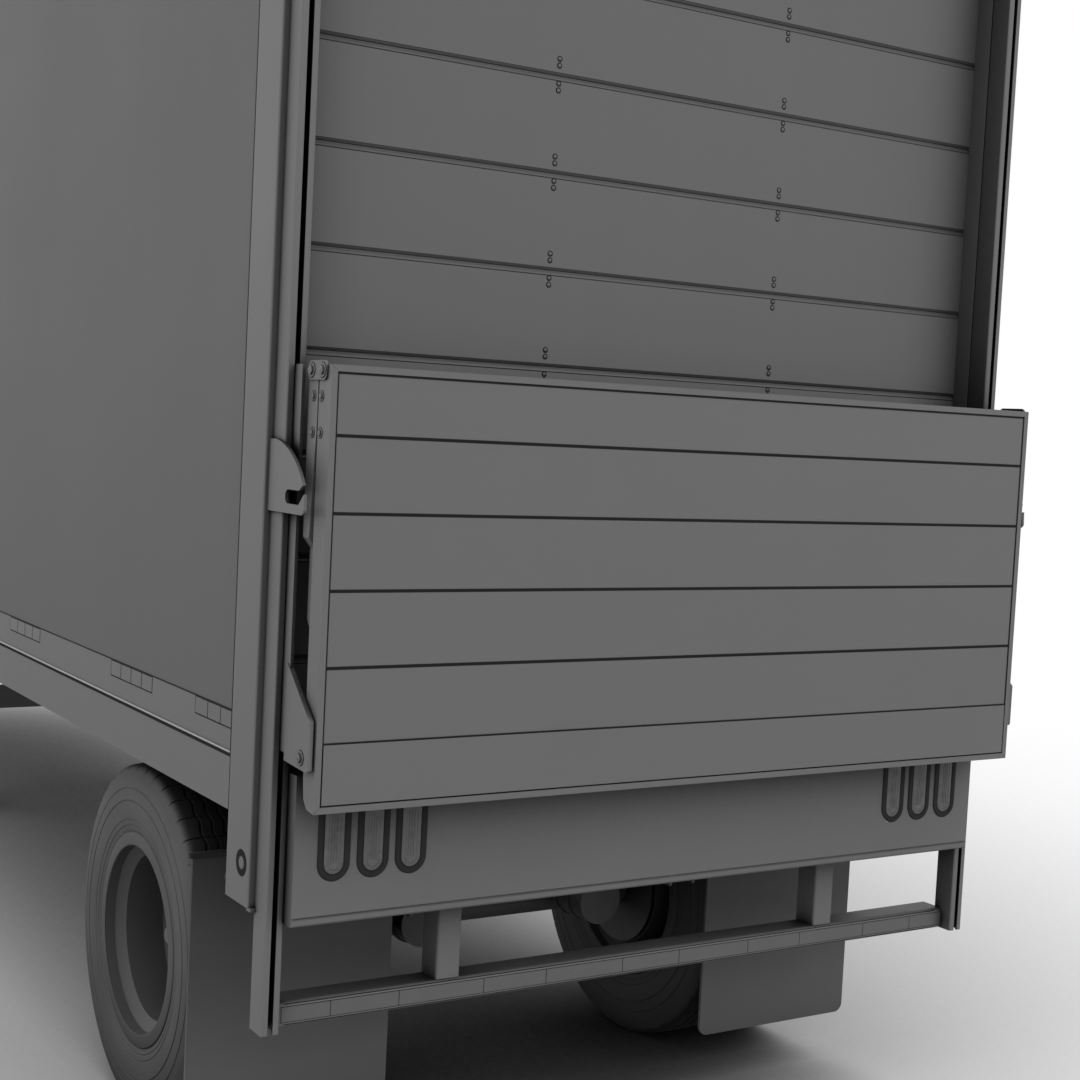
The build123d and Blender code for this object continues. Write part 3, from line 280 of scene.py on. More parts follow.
BASE = 0.133                            # grey of the trailer's enamel
# Every material gets painted shade where it is tucked away: deep, reach and start set how dark it
# goes and how far it looks.
MATERIALS = {
    "body_panel": surface("panel_enamel", BASE, 0.62, spread=0.02, specular=0.2, patch=0.8,
                          grain=1400, grain_depth=0.00012, wave=0.0016, streak=0.05, reach=0.1),
    "body_trim": surface("trim_enamel", BASE, 0.55, spread=0.03, specular=0.3, wear=0.25,
                         streak=0.05, reach=0.6),
    "frame_steel": surface("chassis_paint", 0.060, 0.6, spread=0.12, patch=6, wear=0.3,
                           streak=0.12),
    "bare_steel": surface("bare_steel", 0.14, 0.5, metal=0.35, spread=0.12, patch=9, wear=0.3),
    "door_panel": surface("door_enamel", 0.143, 0.55, spread=0.025, patch=1.0, wave=0.0010,
                          streak=0.05, deep=0.22, reach=0.22),
    "lift_steel": surface("lift_enamel", BASE, 0.5, spread=0.04, patch=3, wear=0.25,
                          streak=0.05, reach=0.6, start=0.48),
    "lift_alloy": surface("deck_alloy", BASE, 0.48, spread=0.035, patch=2.5, wear=0.25,
                          stretch=(0.02, 1, 1), streak=0.04, deep=0.3, reach=0.035),
    "fittings": surface("fitting_paint", 0.055, 0.5, spread=0.1, patch=14, wear=0.3),
    "wheel_paint": surface("wheel_enamel", 0.075, 0.55, spread=0.05, patch=7, streak=0.06,
                           deep=0.5),
    "drum_iron": surface("cast_iron", 0.07, 0.7, spread=0.15, patch=25, grain=500,
                         grain_depth=0.0006, deep=0.1, reach=0.6),
    "bolt_zinc": surface("bolt_zinc", 0.13, 0.4, metal=0.3, spread=0.1, patch=60, wear=0.4),
    "seal_rubber": surface("seal_rubber", 0.030, 0.8, spread=0.08, patch=30, specular=0.15),
    "bead_alloy": surface("bead_alloy", 0.34, 0.35, spread=0.05, patch=8),
    "hole_dark": surface("hole_dark", 0.014, 0.9, spread=0.1, patch=30, specular=0.2),
    "floor_wood": wood(),
    "flap_rubber": flap_sheet(),
    "lamp_lens": lens(),
    "reflective": tape(),
    "tyre_rubber": rubber(),
}

for part in frame["record"]["subparts"]:
    for place in frame["nodes"][part["node"]].material_slots:
        place.material = MATERIALS[part["material_slot"]]


# ---------------------------------------------------------------- mesh helpers
def circle(steps, turn=0.0):
    """The cosine and sine of equal steps round a circle."""
    angles = [2 * math.pi * i / steps + turn for i in range(steps)]
    return [(math.cos(a), math.sin(a)) for a in angles]


def turned(axis, distance, c, s):
    """A point that lies a distance along an axis 'x', 'y' or 'z', and c and s across it."""
    return Vector({"x": (distance, c, s), "y": (c, distance, s), "z": (c, s, distance)}[axis])


class Mesh:
    """Collects shapes, then becomes one piece that rides on a body."""

    def __init__(self, name, material, body="chassis", slot=None, smooth=35):
        self.name, self.material, self.body, self.slot = name, material, body, slot
        self.smooth = smooth
        self.bm = bmesh.new()

    def add(self, verts, faces):
        made = [self.bm.verts.new(v) for v in verts]
        for face in faces:
            self.bm.faces.new([made[i] for i in face])

    def skin(self, rings, closed=False):
        """Joins each ring of vertices to the next, and with closed the last to the first."""
        for one, two in zip(rings, rings[1:] + rings[:1] if closed else rings[1:]):
            for i in range(len(one)):
                j = (i + 1) % len(one)
                self.bm.faces.new((one[i], one[j], two[j], two[i]))

    def block(self, low, high, bevel=0.0):
        """A box between two corners, given in any order."""
        low, high = Vector(map(min, low, high)), Vector(map(max, low, high))
        made = bmesh.ops.create_cube(self.bm, size=1.0)["verts"]
        for v in made:
            v.co = v.co * (high - low) + (low + high) / 2
        if bevel:
            edges = list(dict.fromkeys(e for v in made for e in v.link_edges))
            bmesh.ops.bevel(self.bm, geom=edges, offset=bevel, segments=2, affect="EDGES",
                            profile=0.5)

    def lathe(self, profile, centre, axis, steps=24, closed=False):
        """Turns (along, radius) points round an axis through a centre."""
        rings = [[self.bm.verts.new(Vector(centre) + turned(axis, distance, radius * c, radius * s))
                  for c, s in circle(steps)] for distance, radius in profile]
        self.skin(rings, closed)
        if not closed:
            for ring in (rings[0], rings[-1]):
                if (ring[0].co - ring[steps // 2].co).length > 1e-6:
                    self.bm.faces.new(ring)

    def hexagon(self, centre, axis, way, across, height, turn=0.0):
        """A bolt head with a washer: way is +1 or -1 along the axis."""
        washer, chamfer = across * 0.78, across * 0.70
        self.lathe([(0, washer), (way * 0.18 * height, washer), (way * 0.22 * height, chamfer)],
                   centre, axis, 20)
        radius = across / math.sqrt(3)
        tops = [[self.bm.verts.new(Vector(centre)
                                   + turned(axis, way * level * height, r * c, r * s))
                 for c, s in circle(6, turn)]
                for level, r in ((0.2, radius), (0.88, radius), (1.0, radius * 0.9))]
        self.skin(tops)
        self.bm.faces.new(tops[-1])
        self.bm.faces.new(tops[0])

    def dome(self, centre, axis, way, radius, height, steps=14):
        """A round head, as on a rivet or screw."""
        profile = [(0, radius)]
        for i in range(1, 5):
            a = math.pi / 2 * i / 4
            profile.append((way * height * math.sin(a), max(radius * math.cos(a), 1e-5)))
        self.lathe(profile, centre, axis, steps)

    def tube(self, points, radius, steps=10):
        """A round bar through the points, mitred at each."""
        points = [Vector(p) for p in points]
        rings = []
        side = None
        for i, point in enumerate(points):
            before = (point - points[i - 1]).normalized() if i else None
            after = (points[i + 1] - point).normalized() if i + 1 < len(points) else None
            way = ((before or after) + (after or before)).normalized()
            if side is None:
                side = way.orthogonal().normalized()
            side = (side - way * side.dot(way)).normalized()
            other = way.cross(side)
            size = radius / max(0.3, way.dot(after)) if before and after else radius
            rings.append([self.bm.verts.new(point + (side * c + other * s) * size)
                          for c, s in circle(steps)])
        self.skin(rings)
        self.bm.faces.new(rings[0])
        self.bm.faces.new(rings[-1])

    def mirror(self):
        """Adds the same shapes on the other side."""
        source = self.bm.copy()
        source.verts.ensure_lookup_table()
        copies = [self.bm.verts.new((-v.co.x, v.co.y, v.co.z)) for v in source.verts]
        for face in source.faces:
            self.bm.faces.new([copies[v.index] for v in face.verts])
        source.free()

    def done(self, both=False):
        """Makes the piece, with both on the two sides of the trailer."""
        if both:
            self.mirror()
        bmesh.ops.recalc_face_normals(self.bm, faces=self.bm.faces)
        data = bpy.data.meshes.new(self.name)
        self.bm.to_mesh(data)
        self.bm.free()
        data.materials.append(MATERIALS[self.material])
        piece = bpy.data.objects.new(self.name, data)
        bpy.context.scene.collection.objects.link(piece)
        if self.smooth:
            data.shade_smooth()
            data.set_sharp_from_angle(angle=math.radians(self.smooth))
        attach(piece, self.body)
        return piece


# ---------------------------------------------------------------- tyres
TWIN = 0.146                            # from the middle of the pair to that of each tyre
PERIODS = 44                            # of the tread's pattern, round the tyre
ZIGZAG = 0.0045
CROWN_R = 0.5245                        # at the middle of the tread
CROWN_DROP, CROWN_X = 0.0038, 0.087     # how much less it is that far from the middle
BULGE_X, BULGE_R = 0.1246, 0.4057       # where the sidewall is widest
BULGE_DROP, BULGE_REACH = 0.0116, 0.0895
GROOVES, GROOVE_DEPTH = (0.054, 0.018), 0.006
GROOVE_TOP, GROOVE_FLOOR, CUT_DEPTH = 0.0052, 0.0036, 0.003
# Where the rows of the tyre lie: across it, from its axis, and how deep the cross cuts go there.
RIM_ROWS = ((0.104, 0.2865), (0.1093, 0.3003), (0.1154, 0.3003), (0.1155, 0.2800),
            (0.1164, 0.2793), (0.1174, 0.2806), (0.1176, 0.3120), (0.1160, 0.3165),
            (0.1128, 0.3190))
SHOULDER_ROWS = ((0.1125, 0.4925, 0), (0.1112, 0.4975, 0.001), (0.1085, 0.5070, 0.003),
                 (0.1035, 0.5140, 0.004), (0.0960, 0.5185, 0.004), (0.0870, 0.5205, 0.004))
# Radii of the rows up the sidewall, and how far each sinks into a ring.
WALL_ROWS = ((0.324, 0), (0.334, 0), (0.3355, 0.0013), (0.3385, 0.0013), (0.340, 0),
             (0.352, 0), (0.3535, 0.0013), (0.3560, 0.0013), (0.3575, 0), (0.375, 0),
             (0.392, 0), (0.408, 0), (0.4095, 0.0018), (0.4130, 0.0018), (0.4145, 0),
             (0.430, 0), (0.446, 0), (0.4475, 0.0015), (0.4510, 0.0015), (0.4525, 0),
             (0.468, 0), (0.482, 0))
# Steps round one period: how far along it, how far over the grooves sway, and whether it is cut.
STEPS = ((0.0, -1, 0), (0.20, -0.2, 0), (0.206, -0.18, 1), (0.262, 0.05, 1), (0.268, 0.07, 0),
         (0.5, 1, 0), (0.75, 0, 0))


def side_width(radius):
    """Half width of the tyre's bulged sidewall at a radius."""
    return BULGE_X - BULGE_DROP * ((radius - BULGE_R) / BULGE_REACH) ** 2


def tyre_rows():
    """Rows across the tyre: place, radius, whether it zigzags, and depth of the cross cuts."""
    rows = [(place, radius, 0, 0) for place, radius in RIM_ROWS]
    rows += [(side_width(radius) - sunk, radius, 0, 0) for radius, sunk in WALL_ROWS]
    rows += [(place, radius, 0, cut) for place, radius, cut in SHOULDER_ROWS]
    for middle in GROOVES:
        crown = CROWN_R - CROWN_DROP * (middle / CROWN_X) ** 2
        floor_r = crown - GROOVE_DEPTH
        rows += [(middle + GROOVE_TOP, crown, 1, CUT_DEPTH), (middle + GROOVE_FLOOR, floor_r, 1, 0),
                 (middle - GROOVE_FLOOR, floor_r, 1, 0), (middle - GROOVE_TOP, crown, 1, CUT_DEPTH)]
    return rows + [(-x, radius, zig, cut) for x, radius, zig, cut in reversed(rows)]


def tyre(mesh, x):
    """Road tyre: five zigzag ribs with cross cuts, ringed sidewalls and a protector at the rim."""
    rows = tyre_rows()
    verts, faces = [], []
    for i in range(PERIODS):
        for part, zig, cut in STEPS:
            angle = 2 * math.pi * (i + part) / PERIODS
            c, s = math.cos(angle), math.sin(angle)
            for place, radius, sway, depth in rows:
                r = radius - (depth if cut else 0)
                verts.append((x + place + ZIGZAG * zig * sway, AXLE_Y + r * c, AXLE_Z + r * s))
    wide, around = len(rows), PERIODS * len(STEPS)
    for i in range(around):
        a, b = i * wide, (i + 1) % around * wide
        for k in range(wide):
            n = (k + 1) % wide
            faces.append((a + k, a + n, b + n, b + k))
    mesh.add(verts, faces)


for side, name in WHEELS:
    pair = Mesh(name + "_tyre_pair", "tyre_rubber", name + "_wheels", smooth=32)
    for lane in (-1, 1):
        tyre(pair, side * (DUAL_X + lane * TWIN))
    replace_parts(pair.done(), name + "_tyres")

# ---------------------------------------------------------------- wheel fittings
NUT_RING, NUT_COUNT = 0.1429, 10
NUT_ACROSS, NUT_HEIGHT = 0.033, 0.027
STUD_R, STUD_HEIGHT = 0.0105, 0.013
DISC = DUAL_X + 0.011                   # outer face of the outer disc at the nuts
CAP_PROFILE = ((-0.004, 0.083), (0.002, 0.085), (0.007, 0.085), (0.010, 0.081), (0.010, 0.062),
               (0.013, 0.059), (0.030, 0.056), (0.038, 0.050), (0.041, 0.040), (0.042, 0.027),
               (0.053, 0.024), (0.057, 0.022), (0.058, 0.00001))
CAP_SUNK = 0.006                        # how far the cap reaches over the end of the hub
CAP_RING = 0.0715
VALVE_PROFILE = ((0, 0.0062), (0.002, 0.0068), (0.014, 0.0068), (0.016, 0.005))
VALVES = ((1.40, 0.150), (1.40 + math.pi, 0.105))       # angle, and distance out of the tip
for side, name in WHEELS:
    body = name + "_wheels"
    nuts = Mesh(name + "_wheel_nuts", "bolt_zinc", body, "fittings", smooth=30)
    for i in range(NUT_COUNT):
        a = 2 * math.pi * (i + 0.5) / NUT_COUNT
        y, z = AXLE_Y + NUT_RING * math.cos(a), AXLE_Z + NUT_RING * math.sin(a)
        nuts.hexagon((side * DISC, y, z), "x", side, NUT_ACROSS, NUT_HEIGHT, a)
        nuts.dome((side * (DISC + NUT_HEIGHT - 0.001), y, z), "x", side, STUD_R, STUD_HEIGHT, 10)
    nuts.done()
    cap = Mesh(name + "_hub_cap", "bolt_zinc", body, "fittings", smooth=28)
    hub_end = max(abs(corner.x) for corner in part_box(name + "_hub_drum"))
    cap.lathe([(side * (hub_end - CAP_SUNK + out), radius) for out, radius in CAP_PROFILE],
              (0, AXLE_Y, AXLE_Z), "x", 40)
    for i, (c, s) in enumerate(circle(6)):
        cap.hexagon((side * (hub_end + 0.003), AXLE_Y + CAP_RING * c, AXLE_Z + CAP_RING * s),
                    "x", side, 0.013, 0.008, math.pi / 3 * i)
    cap.done()
    valve = Mesh(name + "_valves", "bolt_zinc", body, "fittings", smooth=40)
    for turn, tip in VALVES:
        c, s = math.cos(turn), math.sin(turn)
        path = [(side * (DUAL_X + out), AXLE_Y + r * c, AXLE_Z + r * s)
                for out, r in ((0.075, 0.236), (0.090, 0.228), (tip, 0.222))]
        valve.tube(path, 0.0045, 8)
        valve.lathe([(side * out, r) for out, r in VALVE_PROFILE], path[-1], "x", 10)
    valve.done()

# ---------------------------------------------------------------- door
PANEL = 0.259                           # height of a door panel
SEAMS = [DOOR[0].z + row * PANEL for row in range(1, 10)]
# Height over the seam, and radius, of the four screws of a hinge.
SCREWS = ((0.0425, 0.0069), (0.0245, 0.0067), (-0.0230, 0.0067), (-0.0410, 0.0069))
HINGES_X = (-0.39, 0.39)
TOP_HINGES_X = (-0.78, -0.39, 0.39, 0.78)
screws = Mesh("door_screws", "bolt_zinc", slot="fittings", smooth=40)
shade_rings = Mesh("door_screw_shade_rings", "hole_dark", slot="frame_steel", smooth=40)
for seam in SEAMS:
    for x in TOP_HINGES_X if seam == SEAMS[-1] else HINGES_X:
        for up, radius in SCREWS:
            place = (x, DOOR[0].y, seam + up)
            screws.dome(place, "y", -1, radius - 0.0014, 0.0024, 16)
            # Painted shade: a dark ring round each screw head.
            shade_rings.lathe([(-0.0001, radius + 0.0012), (-0.0009, radius + 0.0008),
                         (-0.0009, radius - 0.0014)], place, "y", 18)
screws.done()
shade_rings.done()


# ---------------------------------------------------------------- folding platform
def bolt(mesh, place, axis, way, across, height, turn=0.3):
    """Raised ring washer, and a rounded nut with the end of its bolt."""
    ring = [(0, across * 0.92), (way * height * 0.22, across * 0.92),
            (way * height * 0.34, across * 0.84), (way * height * 0.30, across * 0.68)]
    mesh.lathe(ring, place, axis, 24)
    mesh.hexagon(place, axis, way, across, height, turn)
    mesh.dome(Vector(place) + turned(axis, way * height * 0.98, 0, 0), axis, way, across * 0.27,
              height * 0.25, 12)


def bolt_group(name, body, places, across, height):
    """Bolt heads on both sides, each on a dark ring of painted shade a little wider than its
    washer.
    """
    heads = Mesh(name, "bolt_zinc", body, "fittings", smooth=32)
    shade_rings = Mesh(name.replace("bolts", "bolt_shade_rings"), "hole_dark", body, "frame_steel", smooth=40)
    rim = across * 0.92 + 0.0020
    for place in places:
        bolt(heads, place, "x", 1, across, height)
        shade_rings.lathe([(-0.0002, rim), (0.0006, rim - 0.0004), (0.0006, across * 0.4),
                     (-0.0002, across * 0.4)], place, "x", 28, True)
    heads.done(both=True)
    shade_rings.done(both=True)


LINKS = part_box("fold_links")
LINK_PIN = 0.020                        # from the end of a link plate to its bolt
END_BOLTS_Z = (2.157, 2.070)
MAIN_BOLTS_Y, EXTENSION_BOLTS_Y = RAIL_Y - 0.121, RAIL_Y - 0.077
HINGE_BOLT = ((RAIL_IN + RAIL_OUT) / 2 + 0.006, RAIL_Y - 0.124, 1.297)
bolt_group("fold_link_bolts", "fold_links",
           [(LINKS[1].x, y, (LINKS[0].z + LINKS[1].z) / 2)
            for y in (LINKS[0].y + LINK_PIN, LINKS[1].y - LINK_PIN)], 0.0190, 0.007)
bolt_group("main_end_bolts", "platform_main",
           [(EDGE_X, MAIN_BOLTS_Y, z) for z in END_BOLTS_Z], 0.0130, 0.005)
bolt_group("extension_end_bolts", "platform_extension",
           [(EDGE_X, EXTENSION_BOLTS_Y, z) for z in END_BOLTS_Z], 0.0130, 0.005)
bolt_group("hinge_bracket_bolts", "lift_carriage", [HINGE_BOLT], 0.0190, 0.008)

# ---------------------------------------------------------------- tail lamps
LAMPS_X = (-1.043, -0.935, -0.828, 0.828, 0.935, 1.043)
LAMP_HALF = 0.0445
LAMP_LENGTH = 0.238
LAMP_RIBS = (-0.0072, 0, 0.0072)
LAMP_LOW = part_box("tail_lamps")[0].z
LAMP_HIGH = LAMP_LOW + LAMP_LENGTH
LAMP_ENDS = ((-1, LAMP_LOW + LAMP_HALF), (1, LAMP_HIGH - LAMP_HALF))
LAMP_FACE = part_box("bed_apron")[0].y
# Inset from the lamp's outline, and place ahead of the apron's face: below 0 stands out of it.
GROMMET = ((0, 0.0002), (0.0004, -0.0014), (0.0020, -0.0026), (0.0055, -0.0032),
           (0.0100, -0.0030), (0.0140, -0.0020), (0.0165, -0.0010), (0.0172, 0.0001))
LENS = ((0.0174, 0.0001), (0.0178, -0.0012), (0.0195, -0.0020), (0.0230, -0.0026),
        (0.0278, -0.0028), (0.0286, -0.0020), (0.0300, -0.0020))
# Radius, and place ahead of the face, at both ends of a spoke in the round ends of each.
LENS_SPOKE = ((0.0250, -0.0018), (0.0172, -0.0027))
GROMMET_SPOKE = ((0.0425, -0.0026), (0.0300, -0.0022))
SPOKES = 13


def slot_outline(half_width, low, high, steps):
    """(x, z) points of an upright oval with round ends, centred on x = 0."""
    points = []
    for start, middle in ((0, high - half_width), (math.pi, low + half_width)):
        for i in range(steps + 1):
            a = start + math.pi * i / steps
            points.append((half_width * math.cos(a), middle + half_width * math.sin(a)))
    return points


def stadium(mesh, x, rows):
    """Sweeps (inset, depth) rows round the oval outline of a lamp, and closes both ends."""
    loops = []
    for inset, depth in rows:
        shape = slot_outline(LAMP_HALF - inset, LAMP_LOW + inset, LAMP_HIGH - inset, 14)
        loops.append([mesh.bm.verts.new((x + u, LAMP_FACE + depth, v)) for u, v in shape])
    mesh.skin(loops)
    mesh.bm.faces.new(loops[-1])
    mesh.bm.faces.new(loops[0])


grommets = Mesh("lamp_grommets", "seal_rubber", slot="flap_rubber", smooth=40)
lenses = Mesh("lamp_lenses", "lamp_lens", smooth=40)
for x in LAMPS_X:
    stadium(grommets, x, GROMMET)
    stadium(lenses, x, LENS)
    for rib in LAMP_RIBS:
        lenses.block((x + rib - 0.0010, LAMP_FACE - 0.0027, LAMP_LOW + LAMP_HALF),
                     (x + rib + 0.0010, LAMP_FACE - 0.0015, LAMP_HIGH - LAMP_HALF), 0.0003)
    for end, middle in LAMP_ENDS:
        for i in range(SPOKES):
            a = math.pi * (i + 0.5) / SPOKES
            c, v = math.cos(a), end * math.sin(a)
            for mesh, spoke in ((lenses, LENS_SPOKE), (grommets, GROMMET_SPOKE)):
                mesh.tube([(x + r * c, LAMP_FACE + depth, middle + r * v) for r, depth in spoke],
                          0.0009, 5)
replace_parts(lenses.done(), "tail_lamps")
grommets.done()

# ---------------------------------------------------------------- underride guard
GUARD_BACK, GUARD_LOW = GUARD[0].y, GUARD[0].z
# Ends of the pieces of tape along the bar.
TAPE = (-1.130, -0.994, -0.798, -0.543, -0.345, -0.090, 0.108, 0.361, 0.559, 0.815, 1.011, 1.146)
tape_strip = Mesh("guard_tape", "reflective", slot="lamp_lens", smooth=0)
for left, right in zip(TAPE, TAPE[1:]):
    tape_strip.block((left + 0.0010, GUARD_BACK - 0.0007, GUARD_LOW + 0.0128),
                     (right - 0.0010, GUARD_BACK + 0.0001, GUARD_LOW + 0.0512), 0.0001)
tape_strip.done()
tape_edge = Mesh("guard_tape_edges", "hole_dark", slot="flap_rubber", smooth=0)
tape_edge.block((TAPE[0], GUARD_BACK - 0.0003, GUARD_LOW + 0.0112),
                (TAPE[-1], GUARD_BACK + 0.0002, GUARD_LOW + 0.0528))
for z in (GUARD_LOW + 0.0048, GUARD_LOW + 0.0570):
    tape_edge.block((GUARD[0].x + 0.03, GUARD_BACK + 0.0010, z),
                    (GUARD[1].x - 0.03, GUARD_BACK + 0.0050, z + 0.0022))
tape_edge.done()

# ---------------------------------------------------------------- side squares and rub rail
FLANGE_TOP_Z = 1.353
SQUARE = 0.0895
# Where each group of squares starts, ahead of the rails, and how many it has.
SQUARE_GROUPS = ((0.217, 3), (0.820, 4), (1.918, 4), (3.60, 4), (5.30, 4), (7.00, 4), (8.00, 4))
squares = Mesh("side_squares", "reflective", slot="lamp_lens", smooth=0)
backing = Mesh("side_square_edges", "hole_dark", slot="flap_rubber", smooth=0)
for start, count in SQUARE_GROUPS:
    start += RAIL_Y
    for i in range(count):
        y = start + i * SQUARE
        squares.block((SKIN_X + 0.0029, y + 0.0023, FLANGE_TOP_Z - 0.0440),
                      (SKIN_X + 0.0036, y + 0.0872, FLANGE_TOP_Z - 0.0020), 0.0001)
    backing.block((SKIN_X + 0.0025, start - 0.0016, FLANGE_TOP_Z - 0.0478),
                  (SKIN_X + 0.0032, start + count * SQUARE + 0.0016, FLANGE_TOP_Z))
squares.done(both=True)
backing.done(both=True)
LEDGE_Z = 1.238                         # top of the skirt, where the rub rail sits
LEDGE_Y = (POST[1].y + 0.005, FRONT - 0.115)
bead = Mesh("skirt_bead", "bead_alloy", slot="body_trim", smooth=50)
bead.tube([(HALF - 0.0058, y, LEDGE_Z + 0.0096) for y in LEDGE_Y], 0.0036, 12)
bead.done(both=True)
# Painted shade: near-black strips under the bead and behind it, where shade falls.
bead_shade = Mesh("skirt_bead_shade", "hole_dark", slot="flap_rubber", smooth=0)
for inset, low, high in ((0.0010, -0.0005, 0.0064), (0.0075, 0.0050, 0.0152)):
    bead_shade.block((SKIN_X + 0.0020, LEDGE_Y[0], LEDGE_Z + low),
              (HALF - inset, LEDGE_Y[1], LEDGE_Z + high))
bead_shade.done(both=True)

# ---------------------------------------------------------------- seams, seals and painted shade in gaps
BORDER = 0.016                          # frame round the planks of the platform
DECK_Y, DECK_LOW = MAIN[0].y, MAIN[0].z
DECK_X, DECK_TOP = EDGE_X - BORDER, MAIN[1].z - BORDER
HEEL_TOP = DECK_LOW + 0.165
PLANK_PITCH = 0.1833
# Painted shade: near-black strips in the grooves between the planks and round their border, where
# shade falls in the gaps.
seam_shade = Mesh("deck_seam_shade", "hole_dark", "platform_main", "flap_rubber", smooth=0)
for i in range(1, 5):
    z = HEEL_TOP + i * PLANK_PITCH
    seam_shade.block((-DECK_X, DECK_Y + 0.0017, z - 0.0040), (DECK_X, DECK_Y + 0.0050, z + 0.0040))
seam_shade.block((-DECK_X, DECK_Y + 0.0012, HEEL_TOP - 0.0002),
           (DECK_X, DECK_Y + 0.0060, HEEL_TOP + 0.0046))
seam_shade.block((-DECK_X, DECK_Y + 0.0010, DECK_TOP - 0.0055),
           (DECK_X, DECK_Y + 0.0030, DECK_TOP + 0.0001))
seam_shade.block((-DECK_X + 0.0005, DECK_Y + 0.0034, DECK_LOW + BORDER),
           (DECK_X - 0.0005, DECK_Y + 0.0051, DECK_LOW + BORDER + 0.004))
for side in (-1, 1):
    inner, outer = side * (DECK_X - 0.0040), side * DECK_X
    seam_shade.block((inner, DECK_Y + 0.0010, HEEL_TOP), (outer, DECK_Y + 0.0030, DECK_TOP))
    seam_shade.block((inner, DECK_Y + 0.0034, DECK_LOW + BORDER), (outer, DECK_Y + 0.0051, HEEL_TOP))
seam_shade.done()
door_seals_and_shadow_lines = Mesh("door_seals_and_shadow_lines", "seal_rubber", slot="flap_rubber", smooth=0)
for z in SEAMS:
    door_seals_and_shadow_lines.block((DOOR[0].x, DOOR[0].y + 0.0058, z - 0.0016),
                     (DOOR[1].x, DOOR[0].y + 0.0072, z + 0.0004))
    # Painted shadow lines: thin dark strips on the door's face just above and below each seam; the
    # strip inside the seam is its seal.
    for low, high in ((z + 0.0050, z + 0.0066), (z - 0.0166, z - 0.0140)):
        door_seals_and_shadow_lines.block((DOOR[0].x + 0.001, DOOR[0].y - 0.0002, low),
                         (DOOR[1].x - 0.001, DOOR[0].y + 0.0012, high))
door_seals_and_shadow_lines.done()
sealant = Mesh("wall_sealant", "seal_rubber", slot="flap_rubber", smooth=0)
sealant.block((SKIN_X - 0.0005, POST[1].y - 0.0005, SILL[0].z + 0.003),
              (HALF - 0.0006, POST[1].y + 0.0036, WALL[1].z - 0.050))
sealant.block((SKIN_X - 0.0005, POST[1].y, FLANGE_TOP_Z - 0.0002),
              (SKIN_X + 0.0012, FRONT - 0.112, FLANGE_TOP_Z + 0.0030))
sealant.done(both=True)
# Painted shade: a near-black strip in the gap between each rear post and its lift rail.
rail_gap_shade = Mesh("rail_gap_shades", "hole_dark", slot="flap_rubber", smooth=0)
rail_gap_shade.block((POST[0].x + 0.0003, POST[0].y - 0.0008, POST[0].z + 0.002),
                (RAIL_IN + 0.0065, POST[0].y + 0.0052, RAIL[1].z - 0.002))
rail_gap_shade.done(both=True)

# ---------------------------------------------------------------- caps on the tubes
cap = Mesh("post_caps", "body_trim", smooth=0)
for low, high in ((POST[0].z + 0.0006, POST[0].z + 0.0050),
                  (POST[1].z - 0.0050, POST[1].z - 0.0006)):
    cap.block((POST[0].x + 0.0045, POST[0].y + 0.0045, low),
              (POST[1].x - 0.0045, POST[1].y - 0.0045, high))
cap.done(both=True)
rail_cap = Mesh("rail_caps", "lift_steel", smooth=0)
rail_cap.block((RAIL_IN + 0.0008, RAIL_Y + 0.0008, RAIL[1].z - 0.0060),
               (RAIL_OUT - 0.0008, RAIL[1].y - 0.0008, RAIL[1].z - 0.0004), 0.001)
rail_cap.done(both=True)
CORNER_R = 0.110                        # outer radius of the front corner posts
CORNER_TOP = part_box("front_corner_posts")[1].z
CORNER_INSET = 0.001
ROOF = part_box("roof_panel")[1]
CUT = 0.081                             # the roof sheet is cut off this far from its corners
corner = Mesh("front_corner_caps", "body_trim", smooth=0)
middle, reach = (HALF - CORNER_R, FRONT - CORNER_R), CORNER_R - CORNER_INSET
plan = [(middle[0] + reach * math.cos(a), middle[1] + reach * math.sin(a))
        for a in (math.pi / 28 * i for i in range(15))]
plan += [(ROOF.x - CUT, ROOF.y - CORNER_INSET), (ROOF.x - CORNER_INSET, ROOF.y - CUT)]
low, high = [[corner.bm.verts.new((x, y, CORNER_TOP - drop)) for x, y in plan]
             for drop in (0.0045, 0.0004)]
corner.bm.faces.new(low[::-1])
corner.bm.faces.new(high)
corner.skin([low, high])
corner.done(both=True)

# ---------------------------------------------------------------- marker lamps and post tabs
MARKER = (POST[1].x, RAIL_Y + 0.118, 0.990)
marker = Mesh("post_marker_rings", "hole_dark", slot="flap_rubber", smooth=40)
glass = Mesh("post_marker_lenses", "lamp_lens", smooth=40)
marker.lathe([(-0.003, 0.0350), (-0.0002, 0.0350), (0.0002, 0.0335), (0.0002, 0.0220),
              (-0.0002, 0.0115), (-0.003, 0.0115)], MARKER, "x", 40, True)
glass.lathe([(-0.003, 0.0110), (0.0, 0.0110), (0.0003, 0.0095), (0.0003, 0.004)], MARKER, "x", 32)
for c, s in circle(28):
    marker.tube([(MARKER[0] - 0.0002, MARKER[1] + r * c, MARKER[2] + r * s)
                 for r in (0.0135, 0.0330)], 0.0005, 5)
marker.done(both=True)
glass.done(both=True)
tab = Mesh("post_tabs", "body_trim", smooth=0)
tab.block((POST[1].x - 0.020, RAIL_Y + 0.060, POST[0].z - 0.009),
          (POST[1].x - 0.003, RAIL_Y + 0.086, POST[0].z + 0.001), 0.002)
tab.done(both=True)

